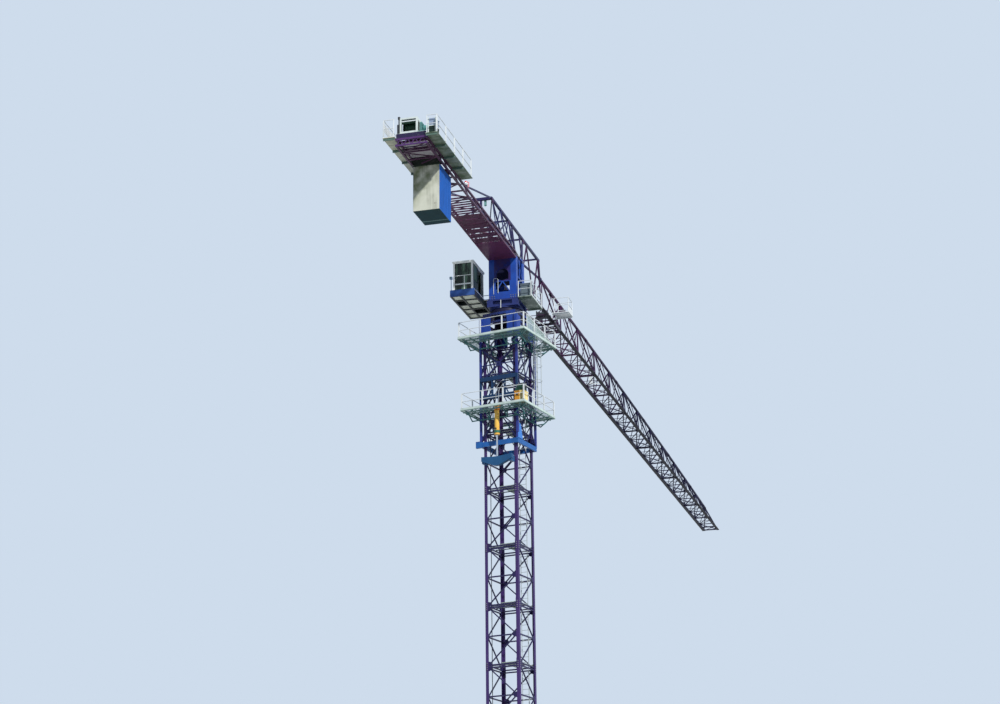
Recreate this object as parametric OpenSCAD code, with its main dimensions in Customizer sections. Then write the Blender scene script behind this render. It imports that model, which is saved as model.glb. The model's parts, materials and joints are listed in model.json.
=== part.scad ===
// Flat-top tower crane with a climbing cage, as a 1:10 scale model in millimetres.
// The origin is on the mast axis at the underside of the fixing feet, +X runs out along the jib
// and +Z is up. The mast stands turned by the slew angle below the upper works.

/* [Mast] */
// Outside width of the square mast
mast_w = 208; // [190:1:212]
// Height of one mast section
pitch = 333; // [300:1:360]
// Flange width of the angle legs
leg_w = 18; // [14:1:22]
// Thickness of the angle legs
leg_t = 2.4; // [1.8:0.1:3]
// Width of the square lattice bars of the mast
mast_bar = 7; // [5:0.5:9]
// Angle that the upper works are slewed from the mast faces, in degrees
slew_rest = 11; // [0:1:20]

/* [Fixing feet] */
// Height of the fixing feet under the first section
foot_h = 25; // [20:1:40]
// Width of a square base plate
foot_w = 64; // [50:1:72]
// Thickness of a base plate
foot_t = 5; // [3:0.5:8]
// Diameter of the anchor bolt holes
anchor_d = 5; // [3:0.5:6]
// Spacing of the anchor bolt holes in a base plate
anchor_pitch = 46; // [38:1:50]
// Width of the flat bars of the setting-out frame
setting_w = 16; // [10:1:20]

/* [Ladder] */
// Width of the ladder between the centres of its stiles
ladder_w = 40; // [30:1:50]
// Spacing of the rungs
rung_pitch = 30; // [25:1:35]
// Diameter of the rungs
rung_d = 3; // [2:0.5:4]

/* [Climbing cage] */
// Outside width of the climbing cage
cage_w = 244; // [240:1:260]
// Height of the cage from its lower ring to its top ring
cage_h = 630; // [600:5:660]
// Width of the square cage legs
cage_leg = 12; // [8:0.5:14]
// Width of the cage lattice bars
cage_bar = 7; // [5:0.5:9]
// Distance from the mast top down to the top of the cage
cage_drop = 95; // [80:5:110]
// Height of the barrel's top over the middle platform
barrel_rise = 16; // [14:1:24]
// Diameter of the climbing cylinder barrel
barrel_d = 28; // [22:1:32]
// Length of the climbing cylinder barrel
barrel_l = 170; // [150:5:190]
// Diameter of the climbing cylinder rod
rod_d = 11; // [9:0.5:14]
// Rod length that shows at rest
rod_out = 128; // [110:2:140]
// Clearance of the rod in its gland
rod_gap = 0.3; // [0.2:0.05:0.5]
// Depth of the climbing crosshead at its middle
yoke_h = 52; // [44:1:60]
// Width of the hydraulic tank
tank_w = 58; // [50:1:60]
// Height of the hydraulic tank
tank_h = 66; // [56:1:72]
// Distance from the mast axis to the front of the guarded ladder
guard_y = 152; // [148:1:156]
// Radius of the hoops round the guarded ladder
hoop_r = 36; // [32:1:40]

/* [Platforms] */
// Width of the upper platform
upper_deck_w = 430; // [400:5:460]
// Width of the middle platform
mid_deck_w = 408; // [380:4:440]
// Height of the middle platform above the lower cage ring
mid_deck_rise = 186; // [160:2:220]
// Thickness of the platform decks
deck_t = 4; // [3:0.5:6]
// Height of the railings
rail_h = 100; // [90:1:115]
// Diameter of the railing tubes
rail_d = 4; // [3:0.5:5]

/* [Slewing gear] */
// Outside diameter of the slewing ring
ring_d = 196; // [180:2:200]
// Height of the slewing ring
ring_h = 24; // [18:1:30]
// Running gap between the two races
race_gap = 0.5; // [0.3:0.1:0.8]
// Height of the lower slewing support over the mast top
support_h = 60; // [50:2:70]
// Height of the turntable
turn_h = 52; // [44:1:60]
// Thickness of the walls of the slewing support
support_t = 8; // [6:0.5:12]
// Diameter of a slewing motor
motor_d = 30; // [24:1:32]

/* [Tower] */
// Width of the tower across the jib
tower_w = 166; // [156:2:176]
// Depth of the tower along the jib
tower_l = 184; // [170:2:200]
// Height of the tower above the turntable
tower_h = 290; // [280:2:310]
// Height of the jib chords over the foot of the tower
jib_rise = 169; // [160:1:180]
// Width of a corner column
column_w = 38; // [34:1:46]
// Plate thickness of the columns
column_t = 7; // [5:0.5:9]

/* [Jib] */
// Length of the jib from the mast axis to its tip
jib_l = 6700; // [6000:10:6800]
// Distance from the mast axis to the first panel point
jib_start = 120; // [110:1:140]
// Distance between the bottom chord centres
jib_w = 118; // [110:1:126]
// Height of the first jib section over the chord centres
jib_h = 265; // [250:1:280]
// Height of the last jib section over the chord centres
tip_h = 130; // [110:1:150]
// Width of the square bottom chords
chord_w = 14; // [10:0.5:16]
// Width of the square top chord
top_chord_w = 13; // [10:0.5:16]
// Width of the jib lattice bars
jib_bar = 7; // [5:0.5:9]
// Width of the ledges that the trolley runs on
ledge_w = 9; // [7:0.5:12]
// Thickness of the ledges
ledge_t = 2.5; // [2:0.5:4]
// Distance from the mast axis to the rear edge of the side platform on the jib
side_deck_x = 800; // [760:5:840]
// Length of the side platform
side_deck_l = 108; // [90:2:130]
// Width of the side platform
side_deck_w = 112; // [90:2:120]

/* [Root truss] */
// Height of the two upper chords of the root truss over the jib chords
root_h = 293; // [280:1:310]
// Distance between the two upper chords
root_w = 112; // [100:1:124]
// Distance from the mast axis back to the rear end of the upper chords
root_rear = 510; // [480:5:560]
// Distance from the mast axis to the front end of the upper chords
root_front = 540; // [500:5:580]

/* [Counter-jib] */
// Length of the counter-jib from the mast axis
counter_l = 1800; // [1700:5:1850]
// Width of the counter-jib frame
counter_w = 170; // [160:1:180]
// Depth of the counter-jib frame
counter_h = 43; // [38:1:50]
// Height of the frame's underside over the jib chords
counter_rise = 79; // [70:1:90]
// Width of the side walkways
walk_w = 62; // [50:1:70]
// Length of the side walkways
walk_l = 610; // [540:5:680]
// Spacing of the walkway railing posts
post_pitch = 152; // [130:1:170]

/* [Counterweight] */
// Length of the counterweight pack along the counter-jib
weight_l = 202; // [180:1:220]
// Width of the counterweight slabs
weight_w = 144; // [130:1:150]
// Height of the counterweight slabs
weight_h = 250; // [230:2:270]
// Distance from the mast axis to the rear face of the pack
weight_x = 1544; // [1500:2:1580]
// Share of the pack that the main slabs take
weight_split = 0.76; // [0.5:0.01:0.9]
// Height of the hanger beams over the slabs
hanger_h = 4; // [3:0.5:6]

/* [Cab] */
// Length of the cab
cab_l = 222; // [200:1:240]
// Width of the cab
cab_w = 118; // [110:1:130]
// Height of the cab
cab_h = 186; // [176:1:200]
// Wall thickness of the cab
cab_t = 5; // [4:0.5:7]
// Distance from the mast axis to the near side of the cab
cab_y = 134; // [130:1:150]
// Distance from the mast axis back to the rear wall of the cab
cab_x = 250; // [230:1:260]
// Height of the cab underframe
cab_base_h = 40; // [36:1:50]
// Height of the tower's foot over the underside of the cab underframe
cab_drop = 28; // [20:1:34]
// Thickness of the glass
glass_t = 1.2; // [0.8:0.1:2]

/* [Trolley] */
// Distance of the trolley from the mast axis at rest
trolley_x = 900; // [700:10:1200]
// Length of the trolley frame
trolley_l = 130; // [110:2:150]
// Diameter of the trolley wheels
wheel_d = 16; // [12:1:20]
// Length of the rope falls under the trolley
fall_l = 62; // [40:2:100]
// Diameter of the rope falls
rope_d = 3; // [2:0.5:4]

/* [Hidden] */

// Twelve mast sections stand on the feet, and the jib has seven sections of two panels
sections = 12;
panels = 14;
half = mast_w / 2;
mast_top = foot_h + sections * pitch;
ring_z = mast_top + support_h;
turn_z = ring_z + ring_h + 5;
tower_z = turn_z + turn_h;
jib_z = tower_z + jib_rise;
tower_top = tower_z + tower_h;
counter_z = jib_z + counter_rise;
cage_top = mast_top - cage_drop;
cage_bottom = cage_top - cage_h;
cage_half = cage_w / 2;
bar_in = leg_t + mast_bar / 2 - 1;
seat = 0.3;

PLUM = [0.27, 0.14, 0.30];
BLUE = [0.10, 0.27, 0.62];
NAVY = [0.16, 0.18, 0.44];
TEAL = [0.10, 0.32, 0.46];
PALE = [0.78, 0.80, 0.80];
YELLOW = [0.90, 0.68, 0.08];

function lerp(a, b, t) = a + (b - a) * t;

// A square bar from point a to point b, with its flats level
module bar(a, b, w) {
    d = b - a;
    len = norm(d);
    translate(a)
        rotate([0, acos(d[2] / len), atan2(d[1], d[0])])
            translate([-w / 2, -w / 2, 0])
                cube([w, w, len]);
}

// A round tube from point a to point b, drawn with few sides
module tube(a, b, d) {
    v = b - a;
    len = norm(v);
    translate(a)
        rotate([0, acos(v[2] / len), atan2(v[1], v[0])])
            cylinder(h = len, d = d, $fn = 8);
}

// A box between two opposite corners
module box(a, b) {
    translate(a) cube(b - a);
}

// Copies its children to the four sides of the mast
module four_sides() {
    for (k = [0:3]) rotate(90 * k) children();
}

// Turns its children with the mast
module on_mast() {
    rotate(-slew_rest) children();
}

// One angle leg, its outer corner at the corner of the mast
module angle_leg(h) {
    linear_extrude(h)
        polygon([[half, half], [half - leg_w, half], [half - leg_w, half - leg_t],
                 [half - leg_t, half - leg_t], [half - leg_t, half - leg_w], [half, half - leg_w]]);
}

// The bracing of the mast face at -Y: three horizontals and two diagonals
module mast_face(z0) {
    y = -half + bar_in;
    reach = half - leg_t - 1;
    knee = half - leg_w;
    low = z0 + mast_bar;
    mid = z0 + pitch / 2;
    high = z0 + pitch - mast_bar;
    for (z = [low, mid, high])
        bar([-reach, y, z], [reach, y, z], mast_bar);
    bar([-knee, y, high], [knee, y, mid], mast_bar - 1);
    bar([knee, y, mid], [-knee, y, low], mast_bar - 1);
}

// One mast section with its splice plates, number 0 at the bottom
module mast_section(k) {
    z0 = foot_h + k * pitch;
    plate = 34;
    color(PLUM) on_mast() four_sides() {
        translate([0, 0, z0]) angle_leg(pitch);
        mast_face(z0);
        for (z = [z0, z0 + pitch - plate])
            box([half - leg_t - 3, half - leg_w - 2, z], [half - 1, half - leg_t - 1, z + plate]);
    }
}

// Four base plates with anchor holes, each with a post and two gussets under a leg, joined
// by the flat bars of the setting-out frame
module fixing_feet() {
    c = half - leg_w / 2;
    gusset = foot_w / 2 - 4;
    inner = c - foot_w / 2;
    color(PLUM) on_mast() {
        four_sides() difference() {
            union() {
                translate([inner, inner, 0]) cube([foot_w, foot_w, foot_t]);
                translate([half - leg_w - 2, half - leg_w - 2, foot_t / 2])
                    cube([leg_w + 2, leg_w + 2, foot_h - foot_t / 2]);
                translate([c - 2, c - gusset, foot_t / 2]) cube([4, 2 * gusset, foot_h / 2]);
                translate([c - gusset, c - 2, foot_t / 2]) cube([2 * gusset, 4, foot_h / 2]);
            }
            for (x = [-1, 1], y = [-1, 1])
                translate([c + x * anchor_pitch / 2, c + y * anchor_pitch / 2, -1])
                    cylinder(h = foot_t + 2, d = anchor_d, $fn = 32);
        }
        for (a = [45, 135]) rotate(a)
            box([-inner * sqrt(2) - 2, -setting_w / 2, 0], [inner * sqrt(2) + 2, setting_w / 2, foot_t]);
        four_sides()
            box([-inner - 1, -c - setting_w / 2, 0], [inner + 1, -c + setting_w / 2, foot_t]);
    }
}

// The place of the guarded ladder and the edge that is left between its hatch and the cage
guard_x = 60;
hatch_edge = 10;
hatch_w = ladder_w + 40;

// The place of the inner ladder beside the rear corner of the mast
ladder_y = -half + leg_w + ladder_w / 2 + 12;
ladder_x = half - 32;
ladder_z0 = foot_h + 40;
ladder_z1 = mast_top - 60;

// Hoops and straps of the guard round a ladder that faces -Y
module ladder_guard(z0, z1) {
    sides = 6;
    function ring(i) = let (a = 180 + i * 180 / sides) [hoop_r * cos(a), hoop_r * sin(a)];
    for (z = [z0:90:z1], i = [0:sides - 1])
        tube([ring(i)[0], ring(i)[1], z], [ring(i + 1)[0], ring(i + 1)[1], z], 3);
    for (i = [1, 3, 5])
        tube([ring(i)[0], ring(i)[1], z0], [ring(i)[0], ring(i)[1], z1], 2.5);
    for (z = [z0:90:z1], s = [-1, 1])
        tube([s * hoop_r, 0, z], [s * (ladder_w / 2), 0, z], 3);
}

// A ladder with its stiles at y = 0
module rungs_and_stiles(z0, z1) {
    n = floor((z1 - z0) / rung_pitch);
    for (s = [-1, 1])
        box([s * ladder_w / 2 - 1.5, -2.5, z0], [s * ladder_w / 2 + 1.5, 2.5, z1]);
    for (i = [0:n - 1])
        tube([-ladder_w / 2, 0, z0 + (i + 0.5) * rung_pitch],
             [ladder_w / 2, 0, z0 + (i + 0.5) * rung_pitch], rung_d);
}

// The ladder inside the mast, and the guarded one from the middle to the upper platform
module ladder() {
    standoff = half - bar_in - mast_bar / 2 - seat - ladder_x;
    guard_top = upper_z + deck_t + rail_h;
    color(PALE) on_mast() {
        translate([ladder_x, ladder_y, 0]) rotate(90) {
            rungs_and_stiles(ladder_z0, ladder_z1);
            for (s = [-1, 1], k = [0:sections - 1]) {
                z = foot_h + (k + 0.5) * pitch;
                box([s * ladder_w / 2 - 1.5, -standoff, z - 3], [s * ladder_w / 2 + 1.5, -2, z + 3]);
            }
        }
        translate([guard_x, -guard_y, 0]) {
            rungs_and_stiles(mid_z + deck_t + seat, guard_top);
            ladder_guard(mid_z + 110, upper_z - 20);
            for (s = [-1, 1])
                box([s * ladder_w / 2 - 1.5, 2, upper_z + 0.5],
                    [s * ladder_w / 2 + 1.5, guard_y - deck_hole / 2 - hatch_edge - seat, upper_z + 3.5]);
        }
    }
}

// A small rest platform on two carriers that lie on the lower ring of each section
module rest_platforms() {
    inner = half - bar_in - mast_bar / 2 - 4;
    carrier = 5;
    color(PALE) on_mast() for (k = [1:sections - 1])
        translate([0, 0, foot_h + k * pitch + 1.5 * mast_bar + seat]) {
            for (x = [-44, ladder_x - 48])
                box([x - 3, -half + bar_in, 0], [x + 3, half - bar_in, carrier]);
            difference() {
                box([-inner, -inner, carrier - 1], [inner, 12, carrier + 2]);
                box([ladder_x - 40, ladder_y - ladder_w / 2 - 8, carrier - 2],
                    [inner + 1, ladder_y + ladder_w / 2 + 8, carrier + 3]);
            }
        }
}

// The levels of the cage rings, from the lower ring up
cage_levels = [0, mid_deck_rise - 12, cage_h - 230, cage_h - cage_bar];

// The cage face at -X carries the climbing cylinder, the face at +X lets new sections in
module cage_face(open) {
    y = -cage_half + cage_leg / 2;
    reach = cage_half - cage_leg / 2;
    last = len(cage_levels) - 1;
    for (i = [0:last])
        bar([-reach, y, cage_bottom + cage_levels[i] + cage_bar / 2],
            [reach, y, cage_bottom + cage_levels[i] + cage_bar / 2], cage_bar);
    for (i = [0:last - 1])
        if (!open || i == 0) {
            z0 = cage_bottom + cage_levels[i] + cage_bar / 2;
            z1 = cage_bottom + cage_levels[i + 1] + cage_bar / 2;
            bar([-reach, y, z0], [0, y, z1], cage_bar - 1);
            bar([0, y, z1], [reach, y, z0], cage_bar - 1);
        }
}

// The climbing cage round the mast, with its deep lower ring, guide shoes, the feed beams
// at the face at -X and the bracket that holds the climbing cylinder
module climbing_cage() {
    in = cage_half - cage_leg;
    color(BLUE) on_mast() {
        four_sides()
            box([in, in, cage_bottom], [cage_half, cage_half, cage_top]);
        rotate(0) cage_face(false);
        rotate(90) cage_face(true);
        rotate(180) cage_face(false);
        rotate(270) cage_face(false);
        four_sides() {
            box([-cage_half + 1, -cage_half + 1, cage_bottom - 20],
                [cage_half - 1, -in - 1, cage_bottom + 8]);
            for (z = [cage_bottom + 24, cage_top - 40])
                box([half - 22, -in - 4, z], [in + 4, -half - 1, z + 22]);
        }
        for (z = [cage_top - 262, cage_top - 372])
            box([-cage_half - 5, -in - 4, z], [-in - 2, in + 4, z + 24]);
        for (y = [-40, 40])
            box([-cage_half - 4, y - 4, cage_top - 350], [-in - 3, y + 4, cage_top - 260]);
        box([-cage_half - 3, -cage_half - 3, cage_bottom + 40],
            [-in - 2, -in - 2, cage_bottom + 110]);
        box([-cage_half - 4, in - 4, cage_bottom - 24], [-in - 2, cage_half + 24, cage_bottom + 14]);
        box([cyl_x - 14, -14, barrel_top + seat], [-in - 1, 14, barrel_top + 14]);
        box([-cage_half + 1, -14, mid_z - 14], [-in - 1, 14, barrel_top + 1]);
    }
}

// A square deck round the mast with a hole for the cage, its toe boards and its brackets;
// its side at -X has a slot of the given width for the climbing cylinder
module ring_deck(w, hole, z, slot) {
    o = w / 2;
    color(PALE) on_mast() difference() {
        ring_deck_frame(o, hole, z);
        if (slot > 0)
            box([-hole / 2 - slot, -slot / 2, z - 9], [-hole / 2 + 1, slot / 2, z + deck_t + 1]);
    }
}

// The plate of a square deck with its toe boards, its brackets and the joists on them
module ring_deck_frame(o, hole, z) {
    difference() {
        translate([-o, -o, z]) cube([2 * o, 2 * o, deck_t]);
        translate([-hole / 2, -hole / 2, z - 1]) cube([hole, hole, deck_t + 2]);
    }
    four_sides() {
        box([-o, -o, z + deck_t / 2], [o - 2, -o + 2, z + deck_t + 12]);
        for (x = [-o * 0.82, -o * 0.28, o * 0.28, o * 0.82])
            bar([x, -o + 10, z + 1], [x, -hole / 2 - 4, z - 46], 5);
        for (x = [-o * 0.28, o * 0.28])
            box([x - 3, -hole / 2 - 7, z - 52], [x + 3, -hole / 2 - seat, z + 1]);
        box([-o * 0.84, -hole / 2 - 4, z - 49], [o * 0.84, -hole / 2 - 0.5, z - 43]);
        for (y = [-o + 30, -hole / 2 - 14])
            box([-o + 4, y - 3, z - 7], [o - 4, y + 3, z + 1]);
    }
}

// A railing round a square deck: posts, a hand rail and a knee rail
module ring_railing(w, z) {
    o = w / 2 - 6;
    color(PALE) on_mast() four_sides() {
        for (h = [rail_h * 0.52, rail_h])
            tube([-o, -o, z + h], [o, -o, z + h], rail_d);
        for (x = [-o, -o / 3, o / 3])
            tube([x, -o, z - 1], [x, -o, z + rail_h + 1], rail_d + 0.5);
    }
}

upper_z = cage_top - 14;
mid_z = cage_bottom + mid_deck_rise;
deck_hole = cage_w + 2 * seat;

// The upper platform, with a hatch for the guarded ladder
module upper_platform() {
    difference() {
        ring_deck(upper_deck_w, deck_hole, upper_z, 0);
        color(PALE) on_mast()
            box([guard_x - hatch_w / 2, -deck_hole / 2 - hatch_edge - 58, upper_z - 10],
                [guard_x + hatch_w / 2, -deck_hole / 2 - hatch_edge, upper_z + deck_t + 1]);
    }
    ring_railing(upper_deck_w, upper_z + deck_t);
}

module mid_platform() {
    ring_deck(mid_deck_w, deck_hole, mid_z, barrel_d + 12);
    ring_railing(mid_deck_w, mid_z + deck_t);
}

// The hydraulic power unit: a tank, the motor housing on it and a filler neck
module power_unit() {
    z = mid_z + deck_t + seat;
    color(YELLOW) on_mast() translate([-mid_deck_w / 2 + 14, -mid_deck_w / 2 + 12, z]) {
        box([0, 0, 0], [tank_w, tank_w - 2, tank_h]);
        box([-2, -2, tank_h - 1], [tank_w + 2, tank_w, tank_h + 3]);
        box([4, 4, tank_h], [tank_w - 6, tank_w - 16, tank_h + 44]);
        translate([tank_w / 2, tank_w - 9, tank_h]) cylinder(h = 24, d = 11, $fn = 32);
    }
}

// The climbing cylinder hangs outside the cage face at -X
cyl_x = -cage_half - barrel_d / 2 - 8;
barrel_top = mid_z + barrel_rise;
barrel_bottom = barrel_top - barrel_l;

module cylinder_barrel() {
    color(YELLOW) on_mast() {
        translate([cyl_x, 0, 0]) difference() {
            union() {
                translate([0, 0, barrel_bottom]) cylinder(h = barrel_l, d = barrel_d, $fn = 48);
                translate([0, 0, barrel_bottom]) cylinder(h = 10, d = barrel_d + 4, $fn = 48);
            }
            translate([0, 0, barrel_bottom + 12])
                cylinder(h = barrel_l - 20, d = barrel_d - 8, $fn = 48);
            translate([0, 0, barrel_bottom - 1])
                cylinder(h = 20, d = rod_d + 2 * rod_gap, $fn = 48);
        }
    }
}

yoke_top = barrel_bottom - rod_out;

module cylinder_rod() {
    color([0.75, 0.76, 0.78]) on_mast() translate([cyl_x, 0, 0]) {
        translate([0, 0, yoke_top]) cylinder(h = rod_out + 90, d = rod_d, $fn = 48);
        translate([0, 0, barrel_bottom + 86])
            cylinder(h = 12, d = barrel_d - 8 - 2 * rod_gap, $fn = 48);
    }
}

// The crosshead that the rod pushes down on the mast: a beam deepest at its middle, with a
// claw at each end
module crosshead() {
    claw = half + 6;
    reach = half - 8;
    end_h = yoke_h / 2;
    color(TEAL) on_mast() {
        translate([cyl_x - 13, 0, yoke_top]) rotate([90, 0, 90]) linear_extrude(26)
            polygon([[-reach, 6], [-22, 0], [22, 0], [reach, 6],
                     [reach, 6 - end_h], [14, -yoke_h], [-14, -yoke_h], [-reach, 6 - end_h]]);
        for (s = [-1, 1])
            translate([0, s * (half - 20), 0])
                box([cyl_x - 9, -9, yoke_top - end_h - 8], [-claw, 9, yoke_top - 2]);
    }
}

// The lower slewing support: corner posts, four walls with openings, flanges and the fixed race
module slewing_support() {
    in = half + 2 - support_t;
    hand_w = half * 0.9;
    color(BLUE) {
        on_mast() {
            difference() {
                box([-half - 2, -half - 2, mast_top], [half + 2, half + 2, ring_z]);
                box([-in, -in, mast_top - 1], [in, in, ring_z - support_t]);
                translate([0, 0, ring_z - support_t - 1])
                    cylinder(h = support_t + 2, d = ring_d - 44, $fn = 96);
                for (a = [0, 90]) rotate(a)
                    box([-hand_w / 2, -half - 3, mast_top + 12], [hand_w / 2, half + 3, ring_z - 14]);
            }
            four_sides() {
                box([half + 1, half + 1, cage_top + seat], [cage_half, cage_half, mast_top + 30]);
                box([half - 4, half - 4, mast_top + 8], [cage_half - 4, cage_half - 4, mast_top + 30]);
                box([half - leg_w, half - leg_w, mast_top], [half + 1, half + 1, mast_top + 20]);
                box([half - 50, half + 4, cage_top + 1], [half + 2, half + 9, mast_top + 29]);
                box([half + 4, half - 50, cage_top + 1], [half + 9, half + 2, mast_top + 29]);
            }
        }
        difference() {
            translate([0, 0, ring_z - 1]) cylinder(h = ring_h + 1, d = ring_d, $fn = 96);
            translate([0, 0, ring_z - 2]) cylinder(h = ring_h + 3, d = ring_d - 24, $fn = 96);
        }
    }
}

// The turntable: the inner race, a box frame that carries the tower and two slewing motors
module turntable() {
    race = ring_d - 24 - 2 * race_gap;
    bore = race - 24;
    o = tower_w / 2 + 10;
    xo = tower_l / 2 + 6;
    motor = tower_w / 2 - column_t - motor_d / 2 - 14;
    color(NAVY) {
        difference() {
            union() {
                translate([0, 0, ring_z + 2]) cylinder(h = ring_h + 8, d = race, $fn = 96);
                translate([0, 0, turn_z]) cylinder(h = 14, d = ring_d, $fn = 96);
                box([-xo, -o, turn_z + 8], [xo, o, tower_z]);
            }
            translate([0, 0, ring_z]) cylinder(h = tower_z - ring_z - 8, d = bore, $fn = 96);
            translate([0, 0, ring_z]) cylinder(h = tower_z - ring_z + 1, d = bore / 2, $fn = 64);
            for (s = [0, 1]) mirror([s, 0, 0])
                box([xo - 14, -o * 0.62, turn_z + 18], [xo + 1, o * 0.62, tower_z - 9]);
            for (s = [0, 1]) mirror([0, s, 0])
                box([-xo * 0.6, o - 14, turn_z + 18], [xo * 0.6, o + 1, tower_z - 9]);
        }
        for (s = [-1, 1]) translate([s * motor, -s * motor, tower_z - 1]) {
            cylinder(h = 16, d = motor_d + 8, $fn = 48);
            translate([0, 0, 15]) cylinder(h = 58, d = motor_d, $fn = 48);
            translate([0, 0, 72]) cylinder(h = 6, d = motor_d - 8, $fn = 48);
        }
    }
}

// One corner column of the tower, an angle of plates
module corner_column() {
    translate([tower_l / 2 - column_t, tower_w / 2 - column_w, 0])
        cube([column_t, column_w, tower_h]);
    translate([tower_l / 2 - column_w, tower_w / 2 - column_t, 0])
        cube([column_w, column_t, tower_h]);
}

// An end plate between two columns: a tall arched opening over a diaphragm, an open triangle
// of two braces and a foot plate
module arched_plate() {
    w = tower_w - 2 * column_w;
    arch_w = w - 16;
    brace_z = 46;
    sill = tower_h * 0.42;
    x = tower_l / 2 - column_t / 2;
    translate([tower_l / 2 - column_t, 0, 0]) rotate([90, 0, 90]) linear_extrude(column_t)
        difference() {
            translate([-w / 2 - 2, 0]) square([w + 4, tower_h]);
            translate([0, tower_h * 0.53]) circle(d = arch_w, $fn = 48);
            translate([-arch_w / 2, sill]) square([arch_w, tower_h * 0.53 - sill]);
            translate([-w / 2 + 2, brace_z]) square([w - 4, sill - 12 - brace_z]);
        }
    for (s = [-1, 1])
        bar([x, 0, sill - 9], [x, s * (w / 2 + 2), brace_z - 6], column_t - 1);
}

// The tower: four columns, arched end plates, a diaphragm and the bracing of its sides
module tower() {
    diaphragm = column_t - 1;
    yy = tower_w / 2 - column_t / 2;
    xx = tower_l / 2 - column_w + 4;
    color(BLUE) translate([0, 0, tower_z]) {
        for (sx = [0, 1], sy = [0, 1]) mirror([sx, 0, 0]) mirror([0, sy, 0]) corner_column();
        for (s = [0, 1]) mirror([s, 0, 0]) arched_plate();
        box([-diaphragm / 2, -yy - 1, tower_h * 0.4], [diaphragm / 2, yy + 1, tower_h - 4]);
        for (s = [-1, 1]) {
            for (z = [10, tower_h / 2, tower_h - 10])
                bar([-xx, s * yy, z], [xx, s * yy, z], 7);
            bar([-xx, s * yy, 10], [xx, s * yy, tower_h / 2], 6);
            bar([xx, s * yy, tower_h / 2], [-xx, s * yy, tower_h - 10], 6);
        }
    }
}

chord_y = jib_w / 2;
jib_x0 = tower_l / 2 + seat;
panel = (jib_l - jib_start) / panels;
first_top = jib_start + 1.5 * panel;
head_l = 26;

// Height of the jib's top chord over a joint between two sections, along a slow curve
function joint_z(k) = let (x = jib_start + 2 * panel * k)
    jib_z + lerp(jib_h, tip_h, pow(max(0, x - first_top) / (jib_l - first_top), 1.6));

// Height of the top chord at a distance along the jib, straight within each section
function top_z(x) = let (t = (x - jib_start) / (2 * panel), k = min(floor(t + 0.001), panels / 2 - 1))
    lerp(joint_z(k), joint_z(k + 1), t - k);

// One bay of the jib between two bottom panel points, with its top node in the middle.
// At the end of a section its bars stop short of the joint by an inset.
module jib_bay(x0, x1, inset0, inset1) {
    xm = (x0 + x1) / 2;
    zc = jib_z;
    for (s = [-1, 1]) {
        y = s * chord_y;
        bar([x0 + inset0, y, zc], [xm, 0, top_z(xm)], jib_bar);
        bar([xm, 0, top_z(xm)], [x1 - inset1, y, zc], jib_bar);
    }
    bar([x0 + inset0, -chord_y, zc], [xm, chord_y, zc], jib_bar - 2);
    bar([xm, chord_y, zc], [x1 - inset1, -chord_y, zc], jib_bar - 2);
    bar([xm, -chord_y, zc], [xm, chord_y, zc], jib_bar - 1);
}

// A straight length of the top chord
module top_chord(x0, x1) {
    bar([x0, 0, top_z(x0)], [x1, 0, top_z(x1 - 0.01)], top_chord_w);
}

// A bottom chord with the ledge outside it that the trolley wheels run on
module bottom_chord(s, x0, x1) {
    c = chord_w / 2;
    y0 = s > 0 ? chord_y + c - 1 : -chord_y - c - ledge_w;
    bar([x0, s * chord_y, jib_z], [x1, s * chord_y, jib_z], chord_w);
    box([x0, y0, jib_z - c + 0.5], [x1, y0 + ledge_w + 1, jib_z - c + 0.5 + ledge_t]);
}

// The cross bar at a panel point
module cross_bar(x) {
    bar([x, -chord_y, jib_z], [x, chord_y, jib_z], jib_bar + 2);
}

// A jib section of two panels, number 1 next to the root section
module jib_section(k) {
    x0 = jib_start + 2 * panel * k;
    x1 = x0 + 2 * panel;
    mid = x0 + panel;
    last = k == panels / 2 - 1;
    inset = chord_w / 2 + 2;
    color(PLUM) {
        for (s = [-1, 1])
            bottom_chord(s, x0, x1);
        top_chord(x0, last ? x1 - panel / 2 : x1 - seat);
        jib_bay(x0, mid, inset, 0);
        jib_bay(mid, x1, 0, inset);
        cross_bar(x0 + chord_w / 2);
        cross_bar(mid);
        cross_bar(x1 - chord_w / 2);
        if (last) cross_bar(x1 - panel / 4);
    }
}

// The first section, from the tower's front face to the first joint
module jib_section_1() {
    x1 = jib_start + 2 * panel;
    mid = jib_start + panel;
    zt = jib_z + root_h - 14;
    y_top = root_w / 2;
    inset = chord_w / 2 + 2;
    color(PLUM) {
        for (s = [-1, 1]) {
            y = s * chord_y;
            bottom_chord(s, jib_x0, x1);
            bar([jib_x0 + 8, y, jib_z], [jib_x0 + 160, s * y_top, zt], jib_bar);
            bar([jib_x0 + 160, s * y_top, zt], [jib_x0 + 290, y, jib_z], jib_bar);
            bar([jib_x0 + 290, y, jib_z], [root_front - 30, s * y_top, zt], jib_bar);
            bar([root_front - 30, s * y_top, zt], [mid, y, jib_z], jib_bar);
        }
        top_chord(first_top - head_l + seat, x1 - seat);
        jib_bay(mid, x1, 0, inset);
        cross_bar(jib_x0 + 14);
        cross_bar(jib_x0 + 290);
        cross_bar(mid);
        cross_bar(x1 - chord_w / 2);
    }
}

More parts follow.
